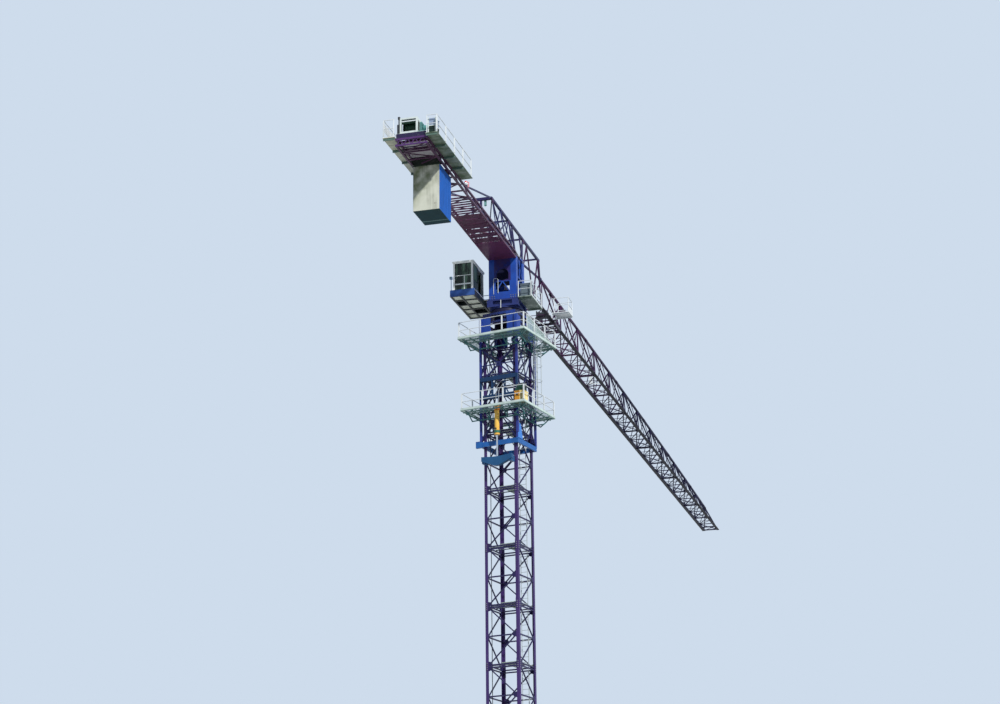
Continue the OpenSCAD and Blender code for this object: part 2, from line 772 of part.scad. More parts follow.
// The root truss: two upper chords over the tower with frames, posts, ties to the counter-jib
// and bars that draw together on the jib's top chord
module root_truss() {
    zt = jib_z + root_h;
    zb = counter_z + counter_h;
    tie_x = -1080;
    strut_x = -410;
    post_x = tower_l / 2 - 10;
    lug_y = counter_w / 2 - 8;
    post_y = tower_w / 2 - 8;
    frames = [-root_rear + 10, -150, 160, root_front - 30];
    color(PLUM) {
        for (s = [-1, 1]) {
            y = s * root_w / 2;
            bar([-root_rear, y, zt], [root_front, y, zt], top_chord_w);
            for (x = [tie_x, strut_x])
                box([x - 9, s * lug_y - 3, zb + seat], [x + 9, s * lug_y + 3, zb + 14]);
            for (x = [-post_x, post_x]) {
                box([x - 9, s * post_y - 7, tower_top + seat], [x + 9, s * post_y + 7, tower_top + 5]);
                bar([x, y, zt], [x, s * post_y, tower_top + 4], jib_bar + 1);
            }
            bar([tie_x, s * lug_y, zb + 9], [-root_rear, y, zt], jib_bar + 1);
            bar([-root_rear + 10, y, zt], [strut_x, s * lug_y, zb + 9], jib_bar);
            bar([strut_x, s * lug_y, zb + 9], [-150, y, zt], jib_bar);
            bar([-150, y, zt], [-post_x, s * post_y, tower_top + 4], jib_bar);
            bar([160, y, zt], [post_x, s * post_y, tower_top + 4], jib_bar);
            bar([root_front - 4, y, zt], [first_top - head_l - 20, 0, top_z(first_top)], top_chord_w - 3);
        }
        bar([first_top - head_l - 30, 0, top_z(first_top)], [first_top - head_l, 0, top_z(first_top)],
            top_chord_w + 4);
        for (x = frames)
            bar([x, -root_w / 2, zt], [x, root_w / 2, zt], jib_bar + 2);
        for (i = [0:2])
            bar([frames[i], -root_w / 2, zt], [frames[i + 1], root_w / 2, zt], jib_bar - 1);
        box([-root_rear - 4, -root_w / 2 - 4, zt - 8], [-root_rear + 10, root_w / 2 + 4, zt + 8]);
        box([-root_rear - 2, 2, zt - 46], [-root_rear + 14, 12, zt]);
    }
}

// The counter-jib frame: two shallow side trusses, cross beams, lacing, an end frame and
// the plates and boards on its underside
module counter_jib_frame() {
    zb = counter_z + 5;
    zt = counter_z + counter_h - 5;
    y = counter_w / 2 - 5;
    x_end = -tower_l / 2 - seat;
    n = 18;
    step = (counter_l + x_end - 10) / n;
    plate_x = -370;
    board_x = -800;
    dense = [-1110, -490];
    color(PLUM) {
        for (s = [-1, 1]) {
            bar([-counter_l, s * y, zb], [x_end, s * y, zb], 10);
            bar([-counter_l, s * y, zt], [x_end, s * y, zt], 10);
        }
        for (i = [0:n - 1]) {
            x0 = -counter_l + 5 + i * step;
            up = i % 2 == 0;
            for (s = [-1, 1])
                bar([x0, s * y, up ? zb : zt], [x0 + step, s * y, up ? zt : zb], 5);
            bar([x0, -y, zb], [x0, y, zb], 7);
            bar([x0, up ? -y : y, zb], [x0 + step, up ? y : -y, zb], 5);
            if (x0 > dense[0] && x0 + step < dense[1])
                for (t = [0.33, 0.67])
                    bar([x0 + t * step, -y, zb], [x0 + t * step, y, zb], 6);
        }
        for (i = [0:3]) {
            v0 = -y + i * y / 2;
            bar([-counter_l + 5, v0, zb], [-counter_l + 5, v0 + y / 4, zt], 4);
            bar([-counter_l + 5, v0 + y / 4, zt], [-counter_l + 5, v0 + y / 2, zb], 4);
        }
        for (x = [-counter_l + 5, -counter_l + 40, -counter_l + 140])
            bar([x, -y, zt], [x, y, zt], 10);
        box([-weight_x - 1, -y, counter_z], [-weight_x + 11, y, counter_z + counter_h - 1]);
        for (x = [weight_cut - 20, weight_cut + 16])
            box([x - 5, -y, counter_z], [x + 5, y, counter_z + 16]);
        box([plate_x, -y, zb - 4], [x_end, y, zb - 1]);
        for (x = [board_x:72:plate_x - 60])
            box([x, -y + 8, zb - 3.5], [x + 56, y - 8, zb - 1]);
    }
}

// The walkways on both sides, gratings on brackets
module walkway_decks() {
    z = counter_z + counter_h + seat;
    color(PALE) for (s = [-1, 1]) {
        mirror([0, s < 0 ? 1 : 0, 0]) {
            y0 = counter_w / 2;
            y1 = y0 + walk_w;
            box([-counter_l - 20, y0 - 3, z], [-counter_l + walk_l, y1, z + 3]);
            for (i = [0:floor((walk_l - 40) / post_pitch)])
                translate([-counter_l - 14 + i * post_pitch, 0, 0])
                    box([-3, y0 + seat, z - 12], [3, y1 - 2, z + 1]);
        }
    }
}

// The railing of each walkway, with a plain board on the left one
module walkway_railing() {
    z = counter_z + counter_h + seat + 2;
    n = floor((walk_l + 6) / post_pitch);
    x0 = -counter_l - 14;
    board_l = 240;
    color(PALE) {
        for (s = [-1, 1]) {
            y = s * (counter_w / 2 + walk_w - 4);
            inner_y = s * (counter_w / 2 + 4);
            for (i = [0:n])
                tube([x0 + i * post_pitch, y, z], [x0 + i * post_pitch, y, z + rail_h + 1], rail_d + 0.5);
            for (h = [rail_h * 0.52, rail_h])
                tube([x0, y, z + h], [x0 + n * post_pitch, y, z + h], rail_d);
            for (h = [rail_h * 0.52, rail_h])
                tube([x0, y, z + h], [x0, inner_y, z + h], rail_d);
            tube([x0, inner_y, z], [x0, inner_y, z + rail_h + 1], rail_d + 0.5);
        }
        y = counter_w / 2 + walk_w - 4;
        box([x0 - 4, y - 1, z + rail_h * 0.42], [x0 + board_l, y + 1.4, z + rail_h * 0.84]);
    }
}

module walkways() {
    walkway_decks();
    walkway_railing();
}

// A pack of counterweight slabs under the frame, each slab hung from a beam across its top
module weight_pack(x0, x1) {
    top = counter_z - seat;
    slabs_top = top - hanger_h;
    color([0.80, 0.79, 0.74]) {
        box([x0, -weight_w / 2, counter_z - 10 - weight_h], [x1, weight_w / 2, slabs_top]);
        for (x = [x0 + 2, x1 - 14])
            box([x, -weight_w / 2 + 3, slabs_top - 1], [x + 12, weight_w / 2 - 3, top]);
    }
}

weight_cut = -weight_x + weight_l * weight_split;

module counterweight() {
    weight_pack(-weight_x, weight_cut - 1);
    weight_pack(weight_cut, -weight_x + weight_l);
}

// The hoist winch: a box frame on two cross beams, a flanged rope drum, its gearbox and motor,
// and a switch cabinet on the right walkway
module hoist_winch() {
    z = counter_z + counter_h + seat;
    base = 28;
    frame_h = 84;
    drum_z = base + 44;
    cabinet_h = 92;
    beam_y = counter_w / 2 - 3.5;
    shift = 14;
    color([0.20, 0.30, 0.26]) translate([-counter_l + 65, shift, z]) {
        for (x = [-60, 48])
            box([x, -beam_y - shift, 0], [x + 12, beam_y - shift, base + 1]);
        difference() {
            box([-60, -46, base], [60, 48, base + frame_h]);
            box([-52, -38, base + 8], [52, 40, base + frame_h - 8]);
            box([-61, -38, base + 8], [61, 40, base + frame_h - 8]);
            box([-52, -38, base + frame_h - 24], [52, 40, base + frame_h + 1]);
            box([-46, -47, base + 14], [46, 49, base + frame_h - 14]);
        }
        translate([0, 48, drum_z]) rotate([90, 0, 0]) cylinder(h = 94, d = 22, $fn = 48);
        translate([0, 40, drum_z]) rotate([90, 0, 0]) cylinder(h = 78, d = 48, $fn = 64);
        for (y = [40, -33])
            translate([0, y, drum_z]) rotate([90, 0, 0]) cylinder(h = 5, d = 66, $fn = 64);
        box([-20, -58, base], [34, -45, base + 70]);
        translate([16, -57, base + 46]) rotate([90, 0, 0]) cylinder(h = 26, d = 36, $fn = 48);
        translate([16, -82, base + 46]) rotate([90, 0, 0]) cylinder(h = 6, d = 30, $fn = 48);
        box([-6, -80, base], [34, -56, base + 29]);
    }
    color([0.66, 0.69, 0.70])
        translate([-counter_l + 2, -counter_w / 2 - walk_w + 14, z + 3 + seat]) {
            for (x = [0, 52], y = [0, 38]) box([x, y, 0], [x + 6, y + 6, cabinet_h]);
            box([2, 2, cabinet_h / 2 + 2], [56, 42, cabinet_h - 4]);
            box([2, 2, 2], [56, 42, cabinet_h / 2 - 4]);
            box([1, 1, cabinet_h / 2 - 5], [57, 43, cabinet_h / 2 + 3]);
        }
}

cab_z = tower_z - cab_drop + cab_base_h;
cab_x0 = -cab_x;
cab_x1 = cab_x0 + cab_l;
cab_y1 = cab_y + cab_w;

// The cab: a hollow box with a floor and a roof, window bars, a door opening and a roof edge
module cab_shell() {
    t = cab_t;
    w0 = cab_y + 10;
    w1 = cab_y1 - 10;
    sill = cab_z + 14;
    lintel = cab_z + cab_h - 12;
    bar_y = lerp(w1, w0, 0.58);
    color(PALE) {
        difference() {
            box([cab_x0, cab_y, cab_z], [cab_x1, cab_y1, cab_z + cab_h]);
            box([cab_x0 + t, cab_y + t, cab_z + t], [cab_x1 - t, cab_y1 - t, cab_z + cab_h - t]);
            box([cab_x0 - 1, w0, sill], [cab_x1 + 1, w1, lintel]);
            box([cab_x0 + 110, cab_y - 1, cab_z + t], [cab_x0 + 180, cab_y + t + 1, cab_z + cab_h - 20]);
            box([cab_x0 + 12, cab_y1 - t - 1, cab_z + 70], [cab_x1 - 12, cab_y1 + 1, lintel]);
            box([cab_x0 + 14, cab_y - 1, cab_z + 76], [cab_x0 + 98, cab_y + t + 1, lintel]);
        }
        difference() {
            box([cab_x0 - 4, cab_y - 4, cab_z + cab_h - 6], [cab_x1 + 8, cab_y1 + 4, cab_z + cab_h + 3]);
            box([cab_x0 + 1, cab_y + 1, cab_z + cab_h - 7], [cab_x1 - 1, cab_y1 - 1, cab_z + cab_h - 1]);
        }
        box([cab_x0, w0 - 1, cab_z + 44], [cab_x0 + 2, w1 + 1, cab_z + 52]);
        box([cab_x0, w0 - 1, cab_z + 99], [cab_x0 + 2, w1 + 1, cab_z + 102]);
        box([cab_x0, bar_y - 2, sill - 1], [cab_x0 + 2, bar_y + 2, cab_z + 100]);
        box([cab_x0 + 108, cab_y1 - 2, cab_z + 69], [cab_x0 + 112, cab_y1, lintel + 1]);
    }
}

// Glass panes in the rear, front, outer and inner walls, just inside the window bars
module cab_glass() {
    t = glass_t;
    g = seat;
    inset = 2 + seat;
    lintel = cab_z + cab_h - 12;
    color([0.10, 0.25, 0.20, 0.6]) {
        for (x = [cab_x0 + inset, cab_x1 - inset - t])
            box([x, cab_y + 10 + g, cab_z + 14 + g], [x + t, cab_y1 - 10 - g, lintel - g]);
        box([cab_x0 + 12 + g, cab_y1 - inset - t, cab_z + 70 + g],
            [cab_x1 - 12 - g, cab_y1 - inset, lintel - g]);
        box([cab_x0 + 14 + g, cab_y + inset, cab_z + 76 + g],
            [cab_x0 + 98 - g, cab_y + inset + t, lintel - g]);
    }
}

// The underframe that carries the cab from the tower, with ceiling bays between its beams,
// the railing of its front platform and the lamp arm at its rear corner
module cab_base() {
    x0 = cab_x0 - 40;
    x1 = cab_x1 + 148;
    y0 = cab_y - 22;
    y1 = cab_y1 + 8;
    z0 = cab_z - cab_base_h;
    beam = 10;
    bays = 5;
    bay = (x1 - x0 - beam) / bays;
    split = lerp(y0, y1, 0.58);
    deck = cab_z - seat;
    rail_x0 = cab_x1 + 14;
    color(BLUE) {
        difference() {
            box([x0, y0, z0], [x1, y1, deck]);
            for (i = [0:bays - 1]) {
                translate([x0 + beam + i * bay, y0 + beam, z0 - 1])
                    cube([bay - beam, split - y0 - 1.5 * beam, cab_base_h - 4]);
                translate([x0 + beam + i * bay, split + beam / 2, z0 - 1])
                    cube([bay - beam, y1 - split - 1.5 * beam, cab_base_h - 4]);
            }
        }
        for (x = [-tower_l / 2 + 8, tower_l / 2 - 20])
            box([x, tower_w / 2 + seat, tower_z + seat], [x + 12, y0 + 2, deck]);
        for (x = [rail_x0, (rail_x0 + x1 - 4) / 2, x1 - 4])
            tube([x, y1 - 4, deck - 1], [x, y1 - 4, deck + rail_h], rail_d + 0.5);
        tube([x1 - 4, y0 + 4, deck - 1], [x1 - 4, y0 + 4, deck + rail_h], rail_d + 0.5);
        for (h = [rail_h * 0.52, rail_h]) {
            tube([rail_x0, y1 - 4, deck + h - 1], [x1 - 4, y1 - 4, deck + h - 1], rail_d);
            tube([x1 - 4, y1 - 4, deck + h - 1], [x1 - 4, y0 + 4, deck + h - 1], rail_d);
        }
        tube([x0 + 6, y1 - 6, deck - 1], [x0 + 6, y1 - 6, deck + 74], 4);
        box([x0 - 2, y1 - 12, deck + 70], [x0 + 14, y1 + 2, deck + 84]);
    }
}

// The platform on the right side of the tower, with its posts and rails
module basket() {
    x0 = -96;
    x1 = 152;
    y0 = -tower_w / 2 - seat - 92;
    y1 = -tower_w / 2 - seat;
    z = tower_z + seat;
    color(PALE) {
        box([x0, y0, z], [x1, y1 - 9, z + 4]);
        box([-60, y1 - 12, z], [60, y1, z + 20]);
        for (x = [x0 + 4, (x0 + x1) / 2, x1 - 4])
            tube([x, y0 + 4, z + 2], [x, y0 + 4, z + rail_h], rail_d + 3);
        for (h = [rail_h * 0.52, rail_h]) {
            tube([x0 + 4, y0 + 4, z + h - 1], [x1 - 4, y0 + 4, z + h - 1], rail_d);
            tube([x1 - 4, y0 + 4, z + h - 1], [x1 - 4, y1 - 12, z + h - 1], rail_d);
            tube([x0 + 4, y0 + 4, z + h - 1], [x0 + 4, y1 - 12, z + h - 1], rail_d);
        }
        for (x = [x0 + 4, x1 - 4])
            tube([x, y1 - 12, z + 2], [x, y1 - 12, z + rail_h], rail_d + 1);
        for (x = [x0 + 20, x1 - 20])
            box([x - 3, y0 + 1, z - 8], [x + 3, y1 - 10, z + 1]);
        box([x0, y0, z + 3], [x1, y0 + 2, z + 14]);
    }
}

// The electrical cabinet on the right platform, with its door and rain edge
module cabinet() {
    z = tower_z + 2 * seat + 4;
    y0 = -tower_w / 2 - 80;
    y1 = -tower_w / 2 - 18;
    color([0.55, 0.57, 0.58]) {
        box([-70, y0, z], [-16, y1, z + 84]);
        box([-72, y0 - 2, z + 83], [-14, y1 + 2, z + 87]);
        box([-71.5, y0 + 5, z + 8], [-69, y1 - 5, z + 78]);
        box([-73, y1 - 14, z + 40], [-71, y1 - 11, z + 52]);
    }
}

// A service platform on the right side of the jib, hung from the bottom chord and a side bar
module jib_side_platform() {
    x0 = side_deck_x;
    x1 = side_deck_x + side_deck_l;
    y1 = -chord_y - chord_w / 2 - seat;
    y0 = y1 - side_deck_w;
    z = jib_z + 36;
    plate_h = 42;
    color(PALE) {
        box([x0, y0, z], [x1, y1 - ledge_w - 2, z + deck_t]);
        for (x = [x0 + 10, x1 - 10]) {
            box([x - 4, y1 - 4, jib_z - chord_w / 2 + 5], [x + 4, y1, z + 3]);
            box([x - 4, y0 + 4, z - 7], [x + 4, y1 - 1, z + 1]);
        }
        for (x = [x0 + 4, x1 - 4])
            tube([x, y0 + 4, z + 1], [x, y0 + 4, z + rail_h], rail_d + 0.5);
        for (x = [x0 + 4, x1 - 4], h = [rail_h * 0.52, rail_h])
            tube([x, y0 + 4, z + h - 1], [x, y1 - ledge_w - 8, z + h - 1], rail_d);
        for (x = [x0 + 4, x1 - 4])
            tube([x, y1 - ledge_w - 8, z + 1], [x, y1 - ledge_w - 8, z + rail_h], rail_d + 0.5);
        for (h = [rail_h * 0.52, rail_h])
            tube([x0 + 4, y0 + 4, z + h - 1], [x1 - 4, y0 + 4, z + h - 1], rail_d);
        box([x0 + 2, y0 + 3, z + 2], [x1 - 2, y0 + 5, z + plate_h]);
    }
}

ledge_z = jib_z - chord_w / 2 + 0.5 + ledge_t;
wheel_z = ledge_z + seat + wheel_d / 2;
frame_z = jib_z - chord_w / 2 - 14;

// The trolley: a frame under the jib, hung by four wheels on the ledges
module trolley() {
    wheel_y = chord_y + chord_w / 2 + 2;
    plate_y = chord_y + chord_w / 2 + ledge_w + 5;
    wheel_x = trolley_l / 2 - 14;
    color([0.16, 0.13, 0.18]) translate([trolley_x, 0, 0]) {
        for (s = [0, 1]) mirror([0, s, 0]) {
            box([-trolley_l / 2, plate_y, frame_z - 8], [trolley_l / 2, plate_y + 4, frame_z + 6]);
            for (x = [-wheel_x, wheel_x]) {
                box([x - 7, plate_y, frame_z], [x + 7, plate_y + 4, wheel_z + 6]);
                translate([x, wheel_y, wheel_z]) rotate([-90, 0, 0])
                    cylinder(h = ledge_w - 3, d = wheel_d, $fn = 40);
                translate([x, wheel_y + 1, wheel_z]) rotate([-90, 0, 0])
                    cylinder(h = plate_y - wheel_y + 1, d = 6, $fn = 24);
            }
        }
        for (x = [-trolley_l / 2 + 4, -16, 16, trolley_l / 2 - 4])
            bar([x, -plate_y - 1, frame_z - 3], [x, plate_y + 1, frame_z - 3], 6);
    }
}

// The hook block under its rope falls
module hook_block() {
    z = frame_z - 6 - seat;
    color([0.10, 0.10, 0.12]) translate([trolley_x, 0, 0]) {
        for (x = [-16, 16], y = [-9, 9])
            tube([x, y, z - fall_l], [x, y, z], rope_d);
        box([-20, -14, z - fall_l - 34], [20, 14, z - fall_l + 1]);
        translate([0, 0, z - fall_l - 44]) cylinder(h = 12, d = 8, $fn = 24);
        translate([0, 0, z - fall_l - 54]) rotate([90, 0, 0]) rotate_extrude(angle = 250, $fn = 48)
            translate([11, 0]) circle(d = 6, $fn = 24);
    }
}

fixing_feet();
mast_section(0);  // mast_section_1
mast_section(1);  // mast_section_2
mast_section(2);  // mast_section_3
mast_section(3);  // mast_section_4
mast_section(4);  // mast_section_5
mast_section(5);  // mast_section_6
mast_section(6);  // mast_section_7
mast_section(7);  // mast_section_8
mast_section(8);  // mast_section_9
mast_section(9);  // mast_section_10
mast_section(10);  // mast_section_11
mast_section(11);  // mast_section_12
ladder();
rest_platforms();
climbing_cage();
mid_platform();
upper_platform();
power_unit();
cylinder_barrel();
cylinder_rod();
crosshead();
slewing_support();
turntable();
tower();
root_truss();
jib_section_1();
jib_section(1);  // jib_section_2
jib_section(2);  // jib_section_3
jib_section(3);  // jib_section_4
jib_section(4);  // jib_section_5
jib_section(5);  // jib_section_6
jib_section(6);  // jib_section_7
cab_shell();
cab_glass();
cab_base();
basket();
cabinet();
counter_jib_frame();
walkways();
counterweight();
hoist_winch();
jib_side_platform();
trolley();
hook_block();
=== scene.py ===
# %% [markdown]
# # Dressing a tower crane
# The crane comes from CAD as named solids that already stand in their places. What is left to do
# here is what a painter and a fitter would do on site: paint, grime, bolts, gratings, glass,
# lamps and pipes. Every cell first says what the real thing is, then how it is made.

# %% Load the frame
import json
import math

import bpy
import numpy as np
from mathutils import Matrix, Vector


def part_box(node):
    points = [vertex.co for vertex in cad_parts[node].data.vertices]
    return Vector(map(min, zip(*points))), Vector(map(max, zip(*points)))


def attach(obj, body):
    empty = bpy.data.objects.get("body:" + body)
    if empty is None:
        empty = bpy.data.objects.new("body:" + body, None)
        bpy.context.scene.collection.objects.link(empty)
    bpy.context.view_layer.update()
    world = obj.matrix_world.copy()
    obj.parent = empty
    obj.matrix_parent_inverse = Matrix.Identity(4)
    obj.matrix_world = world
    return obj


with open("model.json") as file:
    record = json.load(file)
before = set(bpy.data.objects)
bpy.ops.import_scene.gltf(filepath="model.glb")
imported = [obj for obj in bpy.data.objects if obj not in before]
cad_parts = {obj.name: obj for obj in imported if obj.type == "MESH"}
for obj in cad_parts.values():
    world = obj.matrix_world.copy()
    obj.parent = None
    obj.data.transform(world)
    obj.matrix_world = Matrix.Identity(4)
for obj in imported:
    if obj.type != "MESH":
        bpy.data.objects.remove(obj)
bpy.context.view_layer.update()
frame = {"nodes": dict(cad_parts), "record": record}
nodes = frame["nodes"]
scene = bpy.context.scene
scene.view_settings.view_transform = "Standard"

# %% [markdown]
# ## Where things are
# The few that no box shows, such as the width of a chord, are typed here once. The mast stands
# turned by the slew angle under the upper works. One rotation takes a point from the mast's own
# axes to the frame's axes. Small sizes are easier to read in millimetres, so they are written as
# a number times MM.

# %% Measures taken from the frame
MM = 0.001
SLEW = math.radians(-11.0)
RAIL_TOP = 106 * MM
CHORD = 14 * MM
TOP_CHORD = 13 * MM


def low_high(node):
    """The two opposite corners of a node's box, as arrays."""
    low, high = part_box(node)
    return np.array(low), np.array(high)


def on_mast(points):
    """Turns points about the Z axis from the mast's axes to the frame's axes."""
    c, s = math.cos(SLEW), math.sin(SLEW)
    return np.asarray(points, float) @ np.array([[c, s, 0], [-s, c, 0], [0, 0, 1]])


def turned_half(node):
    """Half the width of a square that stands turned by the slew angle, from its upright box."""
    low, high = low_high(node)
    return (high[0] - low[0]) / 2 / (math.cos(SLEW) + math.sin(-SLEW))


section_low, section_high = low_high("mast_section_1")
section_pitch = section_high[2] - section_low[2]
mast_foot = section_low[2]
mast_top = low_high("mast_section_12")[1][2]
section_count = round((mast_top - mast_foot) / section_pitch)
half_mast = turned_half("mast_section_1")
leg_width = 18 * MM
cage_half = 122 * MM
cage_foot, cage_top = (corner[2] for corner in low_high("climbing_cage"))
ring_top = cage_foot + 34 * MM
mid_z = low_high("mid_platform")[1][2] - RAIL_TOP
upper_z = low_high("upper_platform")[1][2] - RAIL_TOP
mid_half = turned_half("mid_platform")
upper_half = turned_half("upper_platform")
jib_z = low_high("jib_section_2")[0][2] + CHORD / 2
chord_y = 59 * MM
jib_joints = [low_high("jib_section_%d" % k)[0][0] for k in range(2, 8)]
jib_tip = low_high("jib_section_7")[1][0]
tower_low, tower_high = low_high("tower")
cab_low, cab_high = low_high("cab_shell")
counter_low, counter_high = low_high("counter_jib_frame")
print("mast half", round(half_mast, 4), "top", round(mast_top, 3), "cage half", round(cage_half, 4))
print("decks", round(mid_z, 3), round(upper_z, 3), "jib", round(jib_z, 3))

# %% [markdown]
# ## The camera
# The photograph was taken from the ground behind the crane, with a long lens tilted up. The
# camera's axes are written out: right, forward and up from one azimuth and one pitch, with a
# small roll. A focal length in pixels becomes a lens length on a 36 mm sensor.

# %% Camera
IMAGE_WIDTH = 1000
FOCAL_PIXELS = 2050.0
SENSOR = 36.0
PITCH = math.radians(18.42)
ROLL = math.radians(0.59)
JIB_AZIMUTH = math.radians(15.69)
CAMERA_BACK = (-10.908, -3.019)
CAMERA_DROP = 4.234

forward_flat = np.array([math.cos(JIB_AZIMUTH), math.sin(JIB_AZIMUTH), 0.0])
right = np.array([math.sin(JIB_AZIMUTH), -math.cos(JIB_AZIMUTH), 0.0])
forward = forward_flat * math.cos(PITCH) + np.array([0, 0, math.sin(PITCH)])
up = -forward_flat * math.sin(PITCH) + np.array([0, 0, math.cos(PITCH)])
camera_x = right * math.cos(ROLL) - up * math.sin(ROLL)
camera_y = right * math.sin(ROLL) + up * math.cos(ROLL)

camera_data = bpy.data.cameras.new("camera")
camera_data.sensor_width = SENSOR
camera_data.lens = FOCAL_PIXELS / IMAGE_WIDTH * SENSOR
camera_data.clip_end = 200
camera = bpy.data.objects.new("camera", camera_data)
scene.collection.objects.link(camera)
axes = Matrix(np.column_stack([camera_x, camera_y, -forward]).tolist()).to_4x4()
camera.matrix_world = Matrix.Translation((*CAMERA_BACK, jib_z - CAMERA_DROP)) @ axes
scene.camera = camera
print("camera at", [round(v, 3) for v in camera.location], "lens", round(camera_data.lens, 1))

# %% [markdown]
# ## Shader maths in plain expressions
# A procedural material is mostly arithmetic on a few inputs: position, noise, height. A small
# class wraps a node's output so that `1 - mask * 0.5` adds the Math nodes by itself. A second
# class holds one material and the few node recipes that the crane needs.


# %% Socket wrapper
class Wire:
    """One output of a node, a number that varies over the surface."""

    def __init__(self, shade, socket):
        self.shade = shade
        self.socket = socket

    def maths(self, operation, first, second):
        """Adds one Math node on two values, each a number or a wire."""
        node = self.shade.put("ShaderNodeMath", {"operation": operation}, {0: first, 1: second})
        return Wire(self.shade, node.outputs[0])

    def __add__(self, other):
        return self.maths("ADD", self, other)

    __radd__ = __add__

    def __mul__(self, other):
        return self.maths("MULTIPLY", self, other)

    __rmul__ = __mul__

    def __sub__(self, other):
        return self.maths("SUBTRACT", self, other)

    def __rsub__(self, other):
        return self.maths("SUBTRACT", other, self)

    def __gt__(self, other):
        return self.maths("GREATER_THAN", self, other)

    def __lt__(self, other):
        return self.maths("LESS_THAN", self, other)

    def __or__(self, other):
        """The larger of two masks: 1 where either of them is."""
        return self.maths("MAXIMUM", self, other)

    def __abs__(self):
        return self.maths("ABSOLUTE", self, 0)

    def modulo(self, size):
        """What is left after whole steps of this size, also below zero."""
        return self.maths("FLOORED_MODULO", self, size)

    def between(self, low, high):
        """A mask that is 1 from low to high."""
        return (self > low) * (self < high)

    def ramp(self, start, end):
        """0 at start and below, 1 at end and above, straight between."""
        settings = {"interpolation_type": "LINEAR", "clamp": True}
        node = self.shade.put("ShaderNodeMapRange", settings, {0: self, 1: start, 2: end})
        return Wire(self.shade, node.outputs[0])


# %% Material builder
class Shade:
    """A material, its Principled shader and the node recipes for it."""

    def __init__(self, name):
        self.material = bpy.data.materials.new(name)
        self.material.use_nodes = True
        self.tree = self.material.node_tree
        self.surface = self.tree.nodes["Principled BSDF"]
        self.place = self.put("ShaderNodeTexCoord").outputs["Object"]

    def put(self, kind, settings=None, values=None):
        """Adds a node, sets its settings first and then its inputs by name or number."""
        node = self.tree.nodes.new(kind)
        for key, value in (settings or {}).items():
            setattr(node, key, value)
        for key, value in (values or {}).items():
            self.feed(node.inputs[key], value)
        return node

    def feed(self, socket, value):
        """Links an output to an input, or sets the input to a number, a colour or a vector."""
        if isinstance(value, Wire):
            value = value.socket
        if isinstance(value, bpy.types.NodeSocket):
            self.tree.links.new(value, socket)
        elif isinstance(value, tuple) and len(value) == 3 and socket.type == "RGBA":
            socket.default_value = (*value, 1.0)
        else:
            socket.default_value = value

    def turned(self, angle):
        """Object coordinates turned about Z, so that a pattern lies square to the mast."""
        values = {"Vector": self.place, "Rotation": (0, 0, angle)}
        return self.put("ShaderNodeMapping", None, values).outputs[0]

    def xyz(self, vector=None):
        """The three coordinates of a vector, or else of the Object coordinates."""
        node = self.put("ShaderNodeSeparateXYZ", None, {0: vector or self.place})
        return [Wire(self, out) for out in node.outputs]

    def noise(self, scale, detail=4.0, stretch=None):
        """Cloudy variation, 0 to 1; stretch squeezes it along axes to make runs and streaks."""
        vector = self.place
        if stretch:
            vector = self.put("ShaderNodeMapping", None, {"Vector": vector, "Scale": stretch}).outputs[0]
        values = {"Vector": vector, "Scale": scale, "Detail": detail}
        return Wire(self, self.put("ShaderNodeTexNoise", None, values).outputs[0])

    def mix(self, mask, first, second):
        """A colour between two colours."""
        node = self.put("ShaderNodeMix", {"data_type": "RGBA"}, {0: mask, 6: first, 7: second})
        return node.outputs[2]

    def bump(self, height, distance):
        """Tilts the surface's normal as if the height stood out by a distance in metres."""
        node = self.put("ShaderNodeBump", None, {"Height": height, "Distance": distance})
        self.feed(self.surface.inputs["Normal"], node.outputs[0])

    def finish(self, colour, rough, metal=0.0, coat=0.0, alpha=1.0, gloss=0.2):
        """Feeds the shader: colour, roughness and alpha may vary, the others are one number. Old
        paint is chalky, so its gloss, the specular level, is well below the default of 0.5."""
        self.feed(self.surface.inputs["Base Color"], colour)
        self.feed(self.surface.inputs["Roughness"], rough)
        self.feed(self.surface.inputs["Alpha"], alpha)
        self.surface.inputs["Metallic"].default_value = metal
        self.surface.inputs["Coat Weight"].default_value = coat
        self.surface.inputs["Specular IOR Level"].default_value = gloss
        return self.material


def colour(red, green, blue):
    """A colour picked on a screen, 0 to 255, as the linear light that shaders use."""
    parts = np.array([red, green, blue]) / 255.0
    linear = np.where(parts <= 0.04045, parts / 12.92, ((parts + 0.055) / 1.055) ** 2.4)
    return tuple(float(v) for v in linear)


print("a screen grey of 128 is", round(colour(128, 128, 128)[0], 3), "in linear light")

# %% [markdown]
# ## Paint that has stood outside
# Site paint is one colour that sun, soot and water have worked on. Large soft clouds change its
# lightness, thin vertical streaks show where rain runs down, soot gathers where the streaks meet
# larger patches, and rust starts in small spots inside them. One recipe paints every steel part,
# with its own colours and its own amount of rust. A second function lays other colours over it
# where a mask says so, and they darken and rust like the paint below.

# %% Weathered paint
RUST = colour(96, 54, 36)
SOOT = colour(22, 24, 28)
RUST_FROM, RUST_FULL = 0.66, 0.72
RUST_ROUGH = 0.3
GRIME = 0.35
PAINT_GRAIN = 0.3 * MM


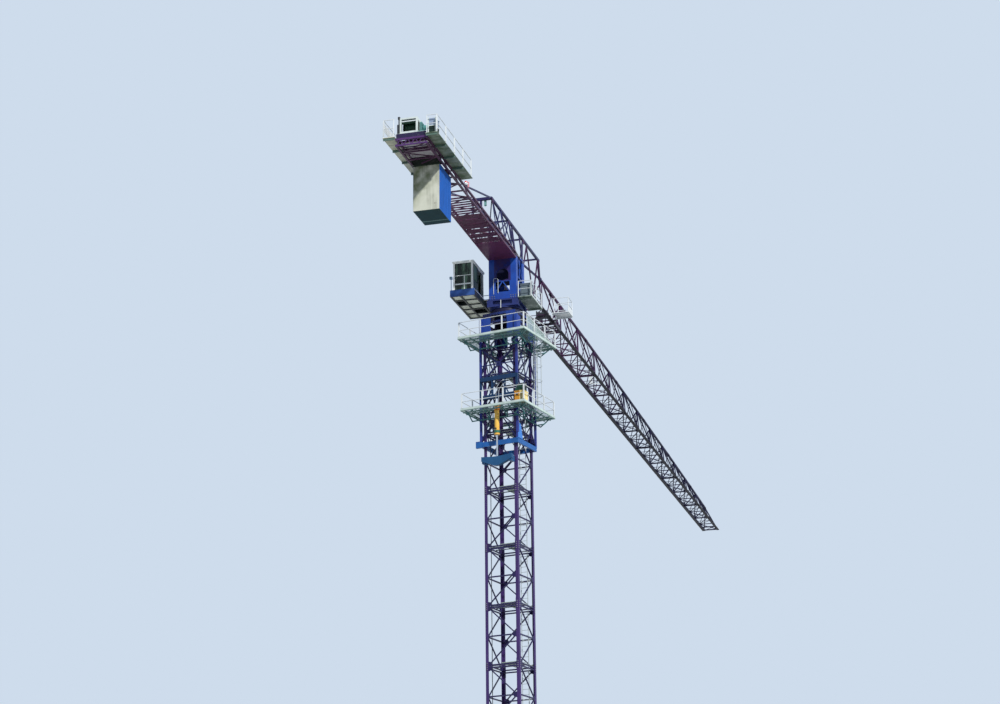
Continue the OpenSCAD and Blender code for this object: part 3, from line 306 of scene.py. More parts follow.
def aged(shade, fresh, faded, rust):
    """Paint of two lightnesses mixed by clouds and rain runs, with rust spots; gives the colour
    and the mask of the spots."""
    clouds = shade.noise(9.0, 5.0)
    runs = shade.noise(60.0, 3.0, stretch=(1, 1, 0.08))
    age = (clouds * 0.6 + runs * 0.3).ramp(0.25, 0.75)
    spots = shade.noise(220.0, 6.0)
    patches = shade.noise(14.0, 3.0)
    rusty = (spots * 0.55 + patches * 0.45).ramp(RUST_FROM - rust, RUST_FULL - rust)
    grime = (runs * patches).ramp(0.26, 0.5) * GRIME
    shade.bump(spots, PAINT_GRAIN)
    paint = shade.mix(grime, shade.mix(age, fresh, faded), SOOT)
    return shade.mix(rusty, paint, RUST), rusty


def painted(name, fresh, faded, rust, rough):
    """A plain weathered paint, rougher where it rusts."""
    shade = Shade(name)
    tint, rusty = aged(shade, fresh, faded, rust)
    return shade.finish(tint, rusty * RUST_ROUGH + rough, coat=0.1)


def zoned(name, fresh, faded, zones, rust, rough=0.45):
    """Weathered paint with other colours over it. Zones gives pairs of a mask and a colour, a
    later pair lies over an earlier one, and soot darkens all of them in soft clouds."""
    shade = Shade(name)
    tint, rusty = aged(shade, fresh, faded, rust)
    shadow = shade.noise(26.0, 4.0, stretch=(1, 1, 0.4)).ramp(0.35, 0.8) * 0.3
    for mask, over in zones(shade):
        tint = shade.mix(mask * (1 - rusty), tint, shade.mix(shadow, over, SOOT))
    return shade, tint, rusty * RUST_ROUGH + rough


print("rust spots fade in over", round(RUST_FULL - RUST_FROM, 2), "of the noise")

# %% [markdown]
# ## The crane's own colours
# Most parts have one plain paint. A table gives each paint its name, its fresh and its faded
# colour, its rust and its roughness, and one recipe makes them all.

# %% Plain paints
PLAIN = {
    "tower_blue": ("tower paint", (24, 62, 158), (48, 92, 184), 0.01, 0.45),
    "galvanized": ("galvanized", (196, 206, 212), (164, 176, 184), 0.02, 0.45),
    "rail_white": ("rail paint", (234, 240, 244), (202, 214, 222), 0.02, 0.45),
    "cab_white": ("cab paint", (242, 248, 248), (222, 232, 232), 0.0, 0.3),
    "cabinet_grey": ("cabinet paint", (88, 104, 114), (118, 132, 142), 0.01, 0.45),
    "trolley_dark": ("trolley paint", (44, 40, 62), (70, 60, 84), 0.05, 0.45),
    "cage_navy": ("cage paint", (30, 34, 82), (46, 52, 112), 0.02, 0.45),
    "dark_steel": ("dark steel", (38, 42, 48), (60, 64, 70), 0.04, 0.45),
    "bolt_steel": ("bolt steel", (108, 112, 124), (140, 142, 150), 0.07, 0.35),
    "teal_steel": ("machine paint", (96, 152, 152), (130, 180, 176), 0.02, 0.45),
    "orange": ("orange paint", (206, 116, 28), (222, 146, 62), 0.01, 0.45),
    "valve_green": ("valve paint", (36, 92, 76), (64, 124, 104), 0.02, 0.45),
    "drum_green": ("drum paint", (26, 54, 40), (44, 78, 58), 0.02, 0.45),
    # Painted highlight: the guide plate's paint is a lighter blue for the sun on it.
    "sunlit_guide_blue": ("guide paint", (52, 118, 208), (86, 148, 224), 0.01, 0.45),
    "bare_plate": ("bare plate", (232, 228, 234), (204, 200, 208), 0.03, 0.45),
    "cream_panel": ("cream panel", (246, 248, 232), (206, 212, 190), 0.03, 0.45),
    "pink_plate": ("reflector", (232, 168, 178), (220, 140, 152), 0.0, 0.45),
    "rubber": ("rubber", (20, 22, 24), (36, 38, 40), 0.0, 0.75),
}
paints = {}
for key, (name, fresh, faded, rust, rough) in PLAIN.items():
    paints[key] = painted(name, colour(*fresh), colour(*faded), rust, rough)
print("plain paints:", len(paints))

# %% [markdown]
# ## Decks that one can see through
# A platform's deck is an open steel grating. Modelling every bar would cost hundreds of thousands
# of triangles for something a pixel wide, so the plate stays and its cells are cut out by the
# alpha of the material: a point is open where neither of two sets of bars covers it. The pattern
# is turned with the mast. Above the deck come a pale toe board and a white railing, below it grey
# joists and brackets painted darker, a painted shade. They are one node, so masks tell them apart by their
# height.

# %% Grating paint
CELL = 6 * MM
CELL_BAR = 1.5 * MM
DECK_T = 4 * MM
DECK_FRESH, DECK_FADED = colour(112, 140, 134), colour(140, 164, 158)
# Painted shade: the brackets under the deck are painted darker.
SHADED_BRACKET_TINT = colour(72, 126, 128)
JOIST_TINT = colour(112, 148, 148)
TOE_TINT = colour(204, 222, 220)
RAIL_TINT = colour(230, 237, 242)


def platform_paint(name, deck_z, deck_half):
    """Open grating inside the toe boards. A cell is open where both coordinates, each taken modulo
    the cell, lie past the bar."""

    def zones(shade):
        z = shade.xyz()[2]
        return [
            (z > deck_z + 4.1 * MM, TOE_TINT),
            (z < deck_z - 0.2 * MM, JOIST_TINT),
            # Painted shade under the deck.
            (z < deck_z - 8 * MM, SHADED_BRACKET_TINT),
            (z > deck_z + 16.5 * MM, RAIL_TINT),
        ]

    shade, tint, rough = zoned(name, DECK_FRESH, DECK_FADED, zones, rust=0.02)
    x, y, z = shade.xyz(shade.turned(-SLEW))
    bars_seen = (x.modulo(CELL) < CELL_BAR) | (y.modulo(CELL) < CELL_BAR)
    rim = deck_half - 3 * MM
    on_deck = z.between(deck_z - 0.1 * MM, deck_z + DECK_T + 0.1 * MM)
    open_part = on_deck * (abs(x) < rim) * (abs(y) < rim)
    return shade.finish(tint, rough, alpha=1 - open_part * (1 - bars_seen))


print("grating is open by", round((1 - CELL_BAR / CELL) ** 2, 2))

# %% Walkways, rest platforms and basket
SEAM_PITCH = 76 * MM
SEAM = 2.5 * MM
PLATE_FRESH, PLATE_FADED = colour(158, 178, 170), colour(178, 190, 178)
walk_low, walk_high = low_high("walkways")
walk_z = walk_high[2] - 104 * MM


def walkway_zones(shade):
    """Dark seams across the walkway plates, moss on the right one, cream paint on the left, and painted shade
    under the plates.
    """
    x, y, z = shade.xyz()
    deck = z.between(walk_z - 0.2 * MM, walk_z + 3.2 * MM)
    moss_and_shadow = shade.noise(24.0, 5.0).ramp(0.42, 0.62)
    return [
        (deck * (y > 0), colour(208, 212, 188)),
        (deck * (y < 0), colour(146, 160, 146)),
        (deck * (y < 0) * moss_and_shadow, colour(104, 124, 100)),
        (deck * ((x - 20 * MM).modulo(SEAM_PITCH) < SEAM), colour(70, 78, 66)),
        # Painted shade: the parts under the walkway plates are painted darker.
        (z < walk_z - 0.2 * MM, colour(96, 122, 112)),
        (z > walk_z + 3.3 * MM, RAIL_TINT),
    ]


def rest_zones(shade):
    """The carriers of a rest platform are darker than its plate."""
    above_foot = shade.xyz()[2] - (mast_foot + 10.8 * MM)
    return [(above_foot.modulo(section_pitch) < 3.6 * MM, colour(60, 66, 96))]


def basket_zones(shade):
    """The basket's deck is a darker green-grey plate with paler patches."""
    z = shade.xyz()[2]
    patches = shade.noise(34.0, 4.0).ramp(0.45, 0.65)
    return [(z < tower_low[2] + 4.4 * MM, shade.mix(patches, colour(104, 124, 114), colour(156, 172, 164)))]


node_paints = {
    "mid_platform": platform_paint("middle deck", mid_z, mid_half),
    "upper_platform": platform_paint("upper deck", upper_z, upper_half),
}
for name, fresh, faded, zones in (
    ("walkways", PLATE_FRESH, PLATE_FADED, walkway_zones),
    ("rest_platforms", PLATE_FRESH, PLATE_FADED, rest_zones),
    ("basket", RAIL_TINT, colour(180, 194, 200), basket_zones),
):
    shade, tint, rough = zoned(name + " paint", fresh, faded, zones, rust=0.03)
    node_paints[name] = shade.finish(tint, rough)
print("deck paints:", len(node_paints))

# %% [markdown]
# ## Machines and masses with several paints
# The counterweight's end slab is bare cream concrete with a painted cast shadow over its upper part,
# its sides are painted blue and its underside is painted dark as painted shade, with a joint line
# between any two slabs. The cab's underframe has a blue rim, dark beams and pale ceiling panels in
# its bays. The winch is white outside and dark inside, and lattices are painted darker inside than
# outside, a painted shade. Each zone is a mask worked out from a box of the frame, and later zones
# lie over earlier ones.

# %% Zones of the steelwork
NAVY_FROM, NAVY_FULL = 1.4, 3.2
THIN = 0.6 * MM


def mast_zones(shade):
    """The bracing is a darker navy than the four legs, and the legs are painted dark on the inside, as
    painted shade.
    """
    u, v, z = shade.xyz(shade.turned(-SLEW))
    inner = half_mast - leg_width - THIN
    inside = half_mast - 3 * MM
    return [
        # Painted shade: the insides of the legs are painted dark.
        ((abs(u) < inside) * (abs(v) < inside), colour(34, 28, 62)),
        ((abs(u) < inner) | (abs(v) < inner), colour(40, 36, 82)),
    ]


def tower_zones(shade):
    """Painted shade: the tower is painted dark inside and behind its arch, and dark red-brown in a band under
    the counter-jib.
    """
    x, y, z = shade.xyz()
    wall = 8 * MM
    inside = (abs(x) < tower_high[0] - wall) * (abs(y) < tower_high[1] - wall)
    arch = (x < 0) * (abs(y) < 50 * MM) * (z > tower_low[2] + 112 * MM)
    cloud = shade.noise(30.0, 3.0).ramp(0.42, 0.6)
    return [
        # Painted shade: the arch, the inside of the tower and a band under the counter-jib are painted dark.
        (arch, shade.mix(cloud, colour(30, 44, 122), colour(54, 42, 98))),
        (inside, colour(26, 28, 58)),
        ((x < 0) * (z > tower_high[2] - 26 * MM), colour(52, 32, 58)),
    ]


def support_zones(shade):
    """The slewing support is painted nearly black inside its four posts, as painted shade."""
    u, v, z = shade.xyz(shade.turned(-SLEW))
    inner = turned_half("slewing_support") - 16 * MM
    # Painted shade inside the four posts.
    return [((abs(u) < inner) * (abs(v) < inner), colour(30, 30, 62))]


def jib_zones(shade):
    """The jib is a bare dark violet at its root, turns navy further out and is painted dark underneath, as
    painted shade.
    """
    x, y, z = shade.xyz()
    return [
        (x.ramp(NAVY_FROM, NAVY_FULL), colour(30, 28, 58)),
        # Painted shade: the undersides of the lower chords are painted dark.
        (z < jib_z - CHORD / 2 + THIN, colour(16, 16, 32)),
    ]


def no_zones(shade):
    """The whole node has the one paint."""
    return []


print("the jib turns navy from", NAVY_FROM, "to", NAVY_FULL, "m")

# %% Zones of the counterweight and the cab's underframe
weight_low, weight_high = low_high("counterweight")
SLAB = 38 * MM
SLAB_JOINT = 1.6 * MM
base_low, base_high = low_high("cab_base")
base_ceiling = base_low[2] + 35 * MM
SHADOW_LEAN = 1.1


def weight_zones(shade):
    """Painted cast shadow in moss-like patches over the upper part, lower on the left; blue flanks,
    an underside painted dark as painted shade, with one pale strip, and dark joints a slab apart."""
    x, y, z = shade.xyz()
    flank = abs(y) > weight_high[1] - THIN
    under = z < weight_low[2] + THIN
    joint = ((x - weight_low[0]).modulo(SLAB) < SLAB_JOINT) * (x > weight_low[0] + 2 * MM)
    edge = x.between(weight_high[0] - 54 * MM, weight_high[0] - 44 * MM)
    stain = shade.noise(9.0, 4.0, stretch=(1, 1, 0.5)).ramp(0.5, 0.62)
    top_stain = stain * (z > weight_high[2] - 130 * MM) * (y > 0)
    # Painted cast shadow: cloudy patches above a line that slopes like the counter-jib's shadow.
    height = z + y * SHADOW_LEAN
    middle = (weight_low[2] + weight_high[2]) / 2
    moss_and_shadow = shade.noise(20.0, 5.0).ramp(0.3, 0.6) * height.ramp(middle - 60 * MM, middle + 60 * MM)
    return [
        (moss_and_shadow, colour(128, 138, 110)),
        (top_stain, colour(146, 142, 104)),
        (flank, colour(34, 98, 190)),
        # Painted shade: the underside is painted dark.
        (under, colour(28, 60, 66)),
        (under * edge, colour(120, 150, 150)),
        (joint, colour(24, 52, 84)),
        (z > weight_high[2] - 10 * MM, colour(46, 60, 50)),
    ]


def underframe_zones(shade):
    """Dark beams and pale ceiling panels inside the blue rim, and a grey-blue upper edge."""
    x, y, z = shade.xyz()
    rim = 1.5 * MM
    core = x.between(base_low[0] + 2 * MM + rim, base_high[0] - rim)
    core = core * y.between(base_low[1] + rim, base_high[1] - rim) * (z < base_ceiling + 1 * MM)
    grain = shade.noise(40.0, 5.0).ramp(0.4, 0.7)
    panel = shade.mix(grain, colour(246, 248, 236), colour(214, 220, 204))
    return [
        (core, colour(16, 26, 30)),
        (core * (z > base_ceiling - THIN), panel),
        (z > base_low[2] + 41 * MM, colour(120, 150, 190)),
    ]


print("ceiling of the underframe at", round(base_ceiling, 3))

# %% Zones of the winch
winch_low, winch_high = low_high("hoist_winch")
CABINET = (winch_low[0] + 29 * MM, -111 * MM)


def winch_zones(shade):
    """Dark beams under the winch, a dark green inside of its frame, a teal drive, and dark doors
    with a pale upper panel on the cabinet."""
    x, y, z = shade.xyz()
    frame_y = (-32 * MM, 62 * MM)
    in_frame = x.between(winch_low[0] + 9 * MM, winch_low[0] + 115 * MM)
    in_frame = in_frame * y.between(frame_y[0] + 7 * MM, frame_y[1] - 7 * MM)
    in_frame = in_frame * z.between(winch_low[2] + 35 * MM, winch_high[2] - 7 * MM)
    drive = y.between(-90 * MM, frame_y[0] - THIN) * (z > winch_low[2] + 27 * MM)
    cabinet = (y < -86 * MM) * (z > winch_low[2] + 4.5 * MM)
    cabinet_z = walk_z + 3.3 * MM
    rear_door = (x < CABINET[0] - 26.5 * MM) * (abs(y - CABINET[1]) < 16 * MM)
    side_door = (y < CABINET[1] - 19.5 * MM) * (abs(x - CABINET[0]) < 23 * MM)
    doors = (rear_door | side_door) * cabinet
    beams = (z < winch_low[2] + 26 * MM) * (y > -86 * MM)
    return [
        (beams, colour(44, 38, 74)),
        (in_frame, colour(30, 52, 38)),
        (drive * (1 - cabinet), colour(96, 152, 152)),
        (doors * (z < cabinet_z + 45 * MM), colour(28, 48, 42)),
        (doors * (z > cabinet_z + 49 * MM), colour(150, 168, 196)),
    ]


print("cabinet of the winch at", [round(v, 3) for v in CABINET])

# %% Zones of the cage, the counter-jib, the power unit, the cab and the turntable
BOARDS_FROM, PLATE_FROM = -805 * MM, -371 * MM


def cage_zones(shade):
    """The cage is painted dark inside, as painted shade, its lower ring is a lighter blue, its feed beams
    are a duller one, and the bracket of the cylinder is orange."""
    u, v, z = shade.xyz(shade.turned(-SLEW))
    ring = z < ring_top
    feed = (u < -cage_half + 11 * MM) * z.between(cage_top - 373 * MM, cage_top - 237 * MM)
    shaded = (abs(u) < cage_half - 13 * MM) | (abs(v) < cage_half - 13 * MM)
    bracket = (u < -cage_half - 4.2 * MM) * z.between(mid_z - 60 * MM, mid_z + 34 * MM)
    return [
        # Painted shade: the cage is painted dark navy away from its corner legs.
        (shaded, colour(30, 34, 84)),
        (ring, colour(40, 100, 174)),
        (feed, colour(26, 58, 98)),
        (bracket, colour(196, 120, 40)),
    ]


def counter_zones(shade):
    """Dark hangers for the weight, plum boards under the frame towards the tower, the closed plate
    next to it redder, and a violet rear end."""
    x, y, z = shade.xyz()
    hanger = x.between(weight_low[0] - 2 * MM, weight_low[0] + 12 * MM)
    boards = (x > BOARDS_FROM) * (z < counter_low[2] + 4.2 * MM)
    end = x < counter_low[0] + 14 * MM
    plate_zone = boards * (x > PLATE_FROM)
    return [
        (hanger, colour(38, 46, 40)),
        (boards, colour(84, 44, 70)),
        (plate_zone, colour(100, 50, 86)),
        (end, colour(86, 54, 112)),
    ]


def unit_zones(shade):
    """The tank's outer side is painted a deeper yellow, as painted shade, and the motor on top of it is dark
    green.
    """
    u, v, z = shade.xyz(shade.turned(-SLEW))
    tank_top = low_high("power_unit")[1][2] - 41 * MM
    # Painted shade on the tank's outer side.
    left = (u < -mid_half + 14 * MM + THIN) * (v > -mid_half + 36 * MM)
    return [(left, colour(214, 150, 50)), (z > tank_top, colour(30, 44, 38))]


def cab_zones(shade):
    """The wall towards the tower is dark inside its frame, so that only the frame shows white."""
    x, y, z = shade.xyz()
    wall = (y < cab_low[1] + 8 * MM) * z.between(cab_low[2] + 12 * MM, cab_low[2] + 168 * MM)
    return [(wall * x.between(cab_low[0] + 16 * MM, cab_high[0] - 14 * MM), colour(70, 90, 92))]


def turntable_zones(shade):
    """What stands above the turntable's plate, the slewing motors, is teal."""
    return [(shade.xyz()[2] > tower_low[2] + 0.5 * MM, colour(40, 84, 84))]


print("boards from", BOARDS_FROM, "plate from", PLATE_FROM)

# %% Paints with zones, for one node each
GROUNDS = {
    "counterweight": ((214, 218, 206), (186, 190, 176), weight_zones, 0.8),
    "cab_base": ((36, 70, 140), (60, 98, 164), underframe_zones, 0.5),
    "cab_shell": ((246, 250, 250), (230, 238, 238), cab_zones, 0.3),
    "hoist_winch": ((226, 236, 236), (190, 204, 204), winch_zones, 0.45),
    "climbing_cage": ((40, 48, 122), (58, 76, 160), cage_zones, 0.45),
    "crosshead": ((28, 72, 118), (44, 96, 140), no_zones, 0.45),
    "root_truss": ((32, 30, 72), (54, 48, 98), no_zones, 0.5),
    "counter_jib_frame": ((60, 32, 60), (96, 62, 92), counter_zones, 0.5),
    "power_unit": ((255, 240, 176), (252, 222, 134), unit_zones, 0.35),
    "cylinder_barrel": ((248, 206, 104), (220, 160, 62), no_zones, 0.3),
    "turntable": ((34, 42, 100), (52, 68, 130), turntable_zones, 0.45),
    "slewing_support": ((28, 56, 146), (50, 86, 172), support_zones, 0.45),
    "tower": ((24, 62, 158), (48, 92, 184), tower_zones, 0.45),
}
for name, (fresh, faded, zones, rough) in GROUNDS.items():
    shade, tint, roughness = zoned(name + " paint", colour(*fresh), colour(*faded), zones, 0.015, rough)
    node_paints[name] = shade.finish(tint, roughness, coat=0.1 if rough < 0.6 else 0.0)
print("zoned paints:", len(node_paints))

# %% Mast and jib paint, also for the small parts on them
shade, tint, roughness = zoned("mast paint", colour(54, 38, 92), colour(80, 58, 120), mast_zones, rust=0.03)
paints["mast_plum"] = shade.finish(tint, roughness, coat=0.1)
shade, tint, roughness = zoned("jib paint", colour(52, 28, 62), colour(82, 48, 86), jib_zones, rust=0.03)
paints["jib_plum"] = shade.finish(tint, roughness, gloss=0.05)
print("shared paints:", len(paints))

# %% [markdown]
# ## Chrome and tinted glass
# The cylinder's rod is hard chrome, wiped clean by its seal. The panes are tinted green and painted
# dark, a painted shade for the dark cab behind them. Pale slanted streaks are painted reflections
# and also dust that the wiper and the rain have left.

# %% Chrome and glass
shade = Shade("rod chrome")
paints["rod_chrome"] = shade.finish(colour(205, 208, 212), shade.noise(300.0) * 0.1 + 0.12, metal=1.0)

shade = Shade("cab glass")
# Painted reflection: pale slanted streaks on the panes, which are also dust.
dust_and_reflection = shade.noise(16.0, 3.0, stretch=(1, 1.6, 0.35)).ramp(0.48, 0.6) * 0.6
# Painted shade: the pane's dark green stands for the dark cab behind it.
pane = shade.mix(dust_and_reflection, colour(8, 28, 22), colour(126, 164, 138))
paints["cab_glass"] = shade.finish(pane, dust_and_reflection * 0.4 + 0.04, coat=0.2, alpha=dust_and_reflection * 0.04 + 0.96)
print("shared paints with chrome and glass:", len(paints))

# %% [markdown]
# ## Which node gets which paint
# A node's own paint comes first, and otherwise the one of its slot in the record. Only the
# material changes: the CAD meshes and their places stay as they are.

# %% Give each node its paint
slots = {part["node"]: part["material_slot"] for part in frame["record"]["subparts"]}
for name, node in nodes.items():
    node.data.materials.clear()
    node.data.materials.append(node_paints.get(name) or paints[slots[name]])
print("painted", len(slots), "nodes")

# %% [markdown]
# ## Shapes as arrays
# A shape here is a pair of arrays: points, and triangles that number them. Nearly everything on a
# crane is either turned on a lathe, drawn through a die or cut from plate, so three makers are
# enough: a profile revolved round an axis, an outline swept along a path, and a block. `copies`
# repeats a shape hundreds of times with one array product, without a loop over points. Two short
# helpers turn millimetres into places.

# %% Millimetres into places
def mm(*values):
    """Numbers or points given in millimetres, as an array in metres."""
    return np.array(values, float) * MM


def at(origin, *steps):
    """Points given by their steps in millimetres from an origin in metres."""
    return np.array(origin, float) + mm(*steps)


print("one step up from the foot:", at((0, 0, 0), (0, 0, 1)))

# %% A closed grid becomes a shape
def surface(grid):
    """A grid of points, rows by columns. The last column joins the first, each cell is cut along
    its diagonal, and a row whose points all coincide becomes one pole."""
    rows, columns = grid.shape[:2]
    number = np.arange(rows * columns).reshape(rows, columns)
    pole = np.ptp(grid, axis=1).max(axis=1) < 1e-9
    number[pole] = number[pole][:, :1]
    right = np.roll(number, -1, axis=1)
    a, b, c, d = number[:-1], right[:-1], right[1:], number[1:]
    triangles = np.stack([a, b, c, a, c, d], -1).reshape(-1, 3)
    whole = (triangles != np.roll(triangles, 1, axis=1)).all(axis=1)
    used, triangles = np.unique(triangles[whole], return_inverse=True)
    return grid.reshape(-1, 3)[used], triangles.reshape(-1, 3)


def frames_along(directions, hint=(0, 0, 1)):
    """A frame for each direction, its axes in columns: z along the direction, x square to it and
    to the hint, y the cross product of the two. Where the hint lies along the direction, the Y
    axis is the hint."""
    z = directions / np.linalg.norm(directions, axis=-1, keepdims=True)
    along = np.abs(z @ np.array(hint, float)) > 0.999
    x = np.cross(np.where(along[:, None], (0.0, 1.0, 0.0), hint), z)
    x /= np.linalg.norm(x, axis=-1, keepdims=True)
    return np.stack([x, np.cross(z, x), z], -1)


def facing(*direction):
    """The frame of one part whose Z axis points in a direction."""
    return frames_along(np.array([direction], float))


print("a part that faces the jib's tip has its Z axis along", facing(1, 0, 0)[0][:, 2])

# %% Lathe, die and plate
def revolved(profile, sides, centre=(0, 0, 0), direction=(0, 0, 1)):
    """A profile of (radius, height) pairs turned round an axis. Each point is the centre, plus
    its height along the axis, plus its radius times the cosine and the sine of the turn along
    the two cross axes."""
    profile = np.array(profile, float)
    x, y, z = facing(*direction)[0].T
    turn = np.arange(sides) * 2 * np.pi / sides
    ring = np.cos(turn)[:, None] * x + np.sin(turn)[:, None] * y
    return surface(np.array(centre) + profile[:, 1, None, None] * z + profile[:, 0, None, None] * ring)


def swept(outline, path, hint=(0, 0, 1)):
    """An outline carried along a path. Each point is a path point plus the outline's two
    coordinates along the path's side and up directions. Both ends close at their middle."""
    path, outline = np.array(path, float), np.array(outline, float)
    frames = frames_along(np.gradient(path, axis=0), hint)
    rings = path[:, None] + np.einsum("nij,pj->npi", frames[:, :, :2], outline)
    ends = [np.broadcast_to(ring.mean(axis=0), ring.shape)[None] for ring in rings[[0, -1]]]
    return surface(np.concatenate([ends[0], rings, ends[1]]))


def circle(radius, sides):
    """Points round a circle: radius times the cosine and the sine of equal steps of a turn."""
    turn = np.arange(sides) * 2 * np.pi / sides
    return radius * np.stack([np.cos(turn), np.sin(turn)], -1)


def rounded(corners, radius, steps=7):
    """A path with rounded corners. Between the points a radius before and after a corner it is
    the parabola (1-t)^2 start + 2t(1-t) corner + t^2 end."""
    corners = np.array(corners, float)
    middle = corners[1:-1]
    before, after = corners[:-2] - middle, corners[2:] - middle
    start = middle + radius * before / np.linalg.norm(before, axis=1, keepdims=True)
    end = middle + radius * after / np.linalg.norm(after, axis=1, keepdims=True)
    t = np.linspace(0, 1, steps)[None, :, None]
    bends = (1 - t) ** 2 * start[:, None] + 2 * t * (1 - t) * middle[:, None] + t**2 * end[:, None]
    return np.concatenate([corners[:1], bends.reshape(-1, 3), corners[-1:]])


def joined(*shapes):
    """Several shapes as one: each one's triangles are numbered on from the points before it."""
    shift = np.cumsum([0] + [len(points) for points, _ in shapes[:-1]])
    triangles = [triangles + n for (_, triangles), n in zip(shapes, shift)]
    return np.concatenate([points for points, _ in shapes]), np.concatenate(triangles)


def copies(shape, places, frames=None):
    """The same shape at many places, each one turned by its own frame."""
    points, triangles = shape
    places = np.atleast_2d(np.asarray(places, float))
    if frames is None:
        frames = np.eye(3)[None]
    frames = np.broadcast_to(frames, (len(places), 3, 3))
    moved = np.einsum("nij,pj->npi", frames, points) + places[:, None]
    shift = np.arange(len(places))[:, None, None] * len(points)
    return moved.reshape(-1, 3), (triangles + shift).reshape(-1, 3)


def plate(outline, thickness):
    """A flat outline in the XY plane with a thickness, its middle at height 0."""
    return swept(outline, [(0, 0, -thickness / 2), (0, 0, thickness / 2)])


UNIT_SQUARE = [(-0.5, -0.5), (0.5, -0.5), (0.5, 0.5), (-0.5, 0.5)]
UNIT_BLOCK = swept(UNIT_SQUARE, [(0, 0, 0), (0, 0, 1)])
print("a block has", len(UNIT_BLOCK[1]), "triangles")

# %% [markdown]
# ## Bars, blocks and frames
# Most pieces are straight bars or square blocks. Both are the unit block with its axes scaled, so
# a hundred bars are one array product. A plate is drawn flat, and one fixed frame stands it up:
# its Y axis becomes Z, and its thickness lies along Y.

# %% Bars and blocks
UPRIGHT = np.array([[1, 0, 0], [0, 0, -1], [0, 1, 0]], float)
UPRIGHT_MIRRORED = np.array([[-1, 0, 0], [0, 0, 1], [0, 1, 0]], float)


def bars(starts, ends, width):
    """Straight square bars between pairs of points: the unit block with its axes scaled by the
    width, the width and the distance between the points, and turned along the bar."""
    starts, ends = np.atleast_2d(np.array(starts, float)), np.atleast_2d(np.array(ends, float))
    span = ends - starts
    size = np.stack(np.broadcast_arrays(width, width, np.linalg.norm(span, axis=1)), -1)
    return copies(UNIT_BLOCK, starts, frames_along(span) * size[:, None, :])


def edged(corners, width):
    """Bars along the edges of a closed row of corners: from each corner to the next one."""
    corners = np.array(corners, float)
    return bars(corners, np.roll(corners, -1, axis=0), width)


def blocks(lows, highs):
    """Upright blocks between pairs of opposite corners."""
    lows, highs = np.atleast_2d(np.array(lows, float)), np.atleast_2d(np.array(highs, float))
    size = highs - lows
    places = lows + size * (0.5, 0.5, 0)
    return copies(UNIT_BLOCK, places, np.eye(3) * size[:, None, :])


def grid_of(*ranges):
    """Every combination of the values given for x, y and z, as an array of points."""
    return np.stack(np.meshgrid(*ranges, indexing="ij"), -1).reshape(-1, 3)


print("a bar 2 m long ends at", bars([(0, 0, 0)], [(0, 0, 2)], 0.1)[0].max(axis=0))

# %% [markdown]
# ## From a shape to a piece
# A piece is a mesh object that rides on one body of the crane, so that it moves with it, and takes
# its paint from a slot of the record unless it is given its own. Its place is in its mesh. Faces are
# shaded smooth apart from edges sharper than 35 degrees, which keeps lathe work round and plates crisp.

# %% Piece maker
SHARP = math.radians(35)


def piece(name, shape, body, slot, paint=None, turned=False):
    """Makes a mesh object of a shape, with its place in its mesh, and lets it ride on a body."""
    points, triangles = shape
    points = on_mast(points) if turned else points
    mesh = bpy.data.meshes.new(name)
    mesh.from_pydata(points.tolist(), [], triangles.tolist())
    mesh.polygons.foreach_set("use_smooth", np.ones(len(triangles), bool))
    mesh.set_sharp_from_angle(angle=SHARP)
    mesh.materials.append(paints[paint or slot])
    obj = bpy.data.objects.new(name, mesh)
    scene.collection.objects.link(obj)
    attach(obj, body)
    print(name, len(triangles), "triangles")


print("edges sharper than", round(math.degrees(SHARP)), "degrees stay crisp")

# %% [markdown]
# ## Bolts and splice plates of the mast
# Where one mast section stands on the next, a plate lies over each leg flange and four large
# bolts hold it. A bolt seen from outside is a washer and a chamfered hexagon, so its profile is
# turned in six steps. All the bolts of the mast are one joined mesh, and none is set where the
# shoes of the climbing cage slide.

# %% Bolt shape
HEX = 6


def bolt(across):
    """A bolt head on its washer, from height 0 up: a flat disc, then a hexagon with a chamfer.
    The corner radius of the hexagon is half its width over the cosine of 30 degrees."""
    corner = across / 2 / math.cos(math.pi / HEX)
    rim, washer_t = corner * 1.25, across * 0.12
    washer = revolved([(0, 0), (rim, 0), (rim, washer_t), (0, washer_t)], 8)
    head = np.array([(0, 0.1), (1, 0.1), (1, 0.52), (0.84, 0.62), (0, 0.62)]) * (corner, across)
    return joined(washer, revolved(head, HEX))


def on_faces(shape, count=4):
    """A shape on one face of the mast and its copies on the next faces, each a quarter turn
    further about the mast's axis."""
    c, s = np.array([1, 0, -1, 0]), np.array([0, 1, 0, -1])
    zero, one = np.zeros(4), np.ones(4)
    turns = np.stack([c, -s, zero, s, c, zero, zero, zero, one], -1).reshape(4, 3, 3)
    return copies(shape, np.zeros((count, 3)), turns[:count])


print("a bolt has", len(bolt(1.0)[1]), "triangles")

# %% Mast splices
SPLICE_T, SPLICE_H = 0.9 * MM, 46 * MM
BOLT_STEPS = mm(-17, -6, 6, 17)
SHOE_REACH = 18 * MM
joints_z = mast_foot + section_pitch * np.arange(section_count)
plate_x = np.array([-1, 1]) * (half_mast - leg_width / 2)
half_plate = leg_width * 0.42
spots = grid_of(plate_x, [-half_mast], joints_z)
plates = blocks(spots - (half_plate, SPLICE_T, SPLICE_H / 2), spots + (half_plate, 0, SPLICE_H / 2))
piece("splice_plates", on_faces(plates), "mast", "mast_plum", turned=True)

shoe_z = cage_foot + 54 * MM
bolt_z = np.add.outer(joints_z, BOLT_STEPS).ravel()
bolt_z = bolt_z[np.abs(bolt_z - shoe_z) > SHOE_REACH]
spots = grid_of(plate_x, [-half_mast - SPLICE_T * 0.9], bolt_z)
heads = copies(bolt(4.6 * MM), spots, facing(0, -1, 0))
piece("splice_bolts", on_faces(heads), "mast", "mast_plum", "bolt_steel", turned=True)

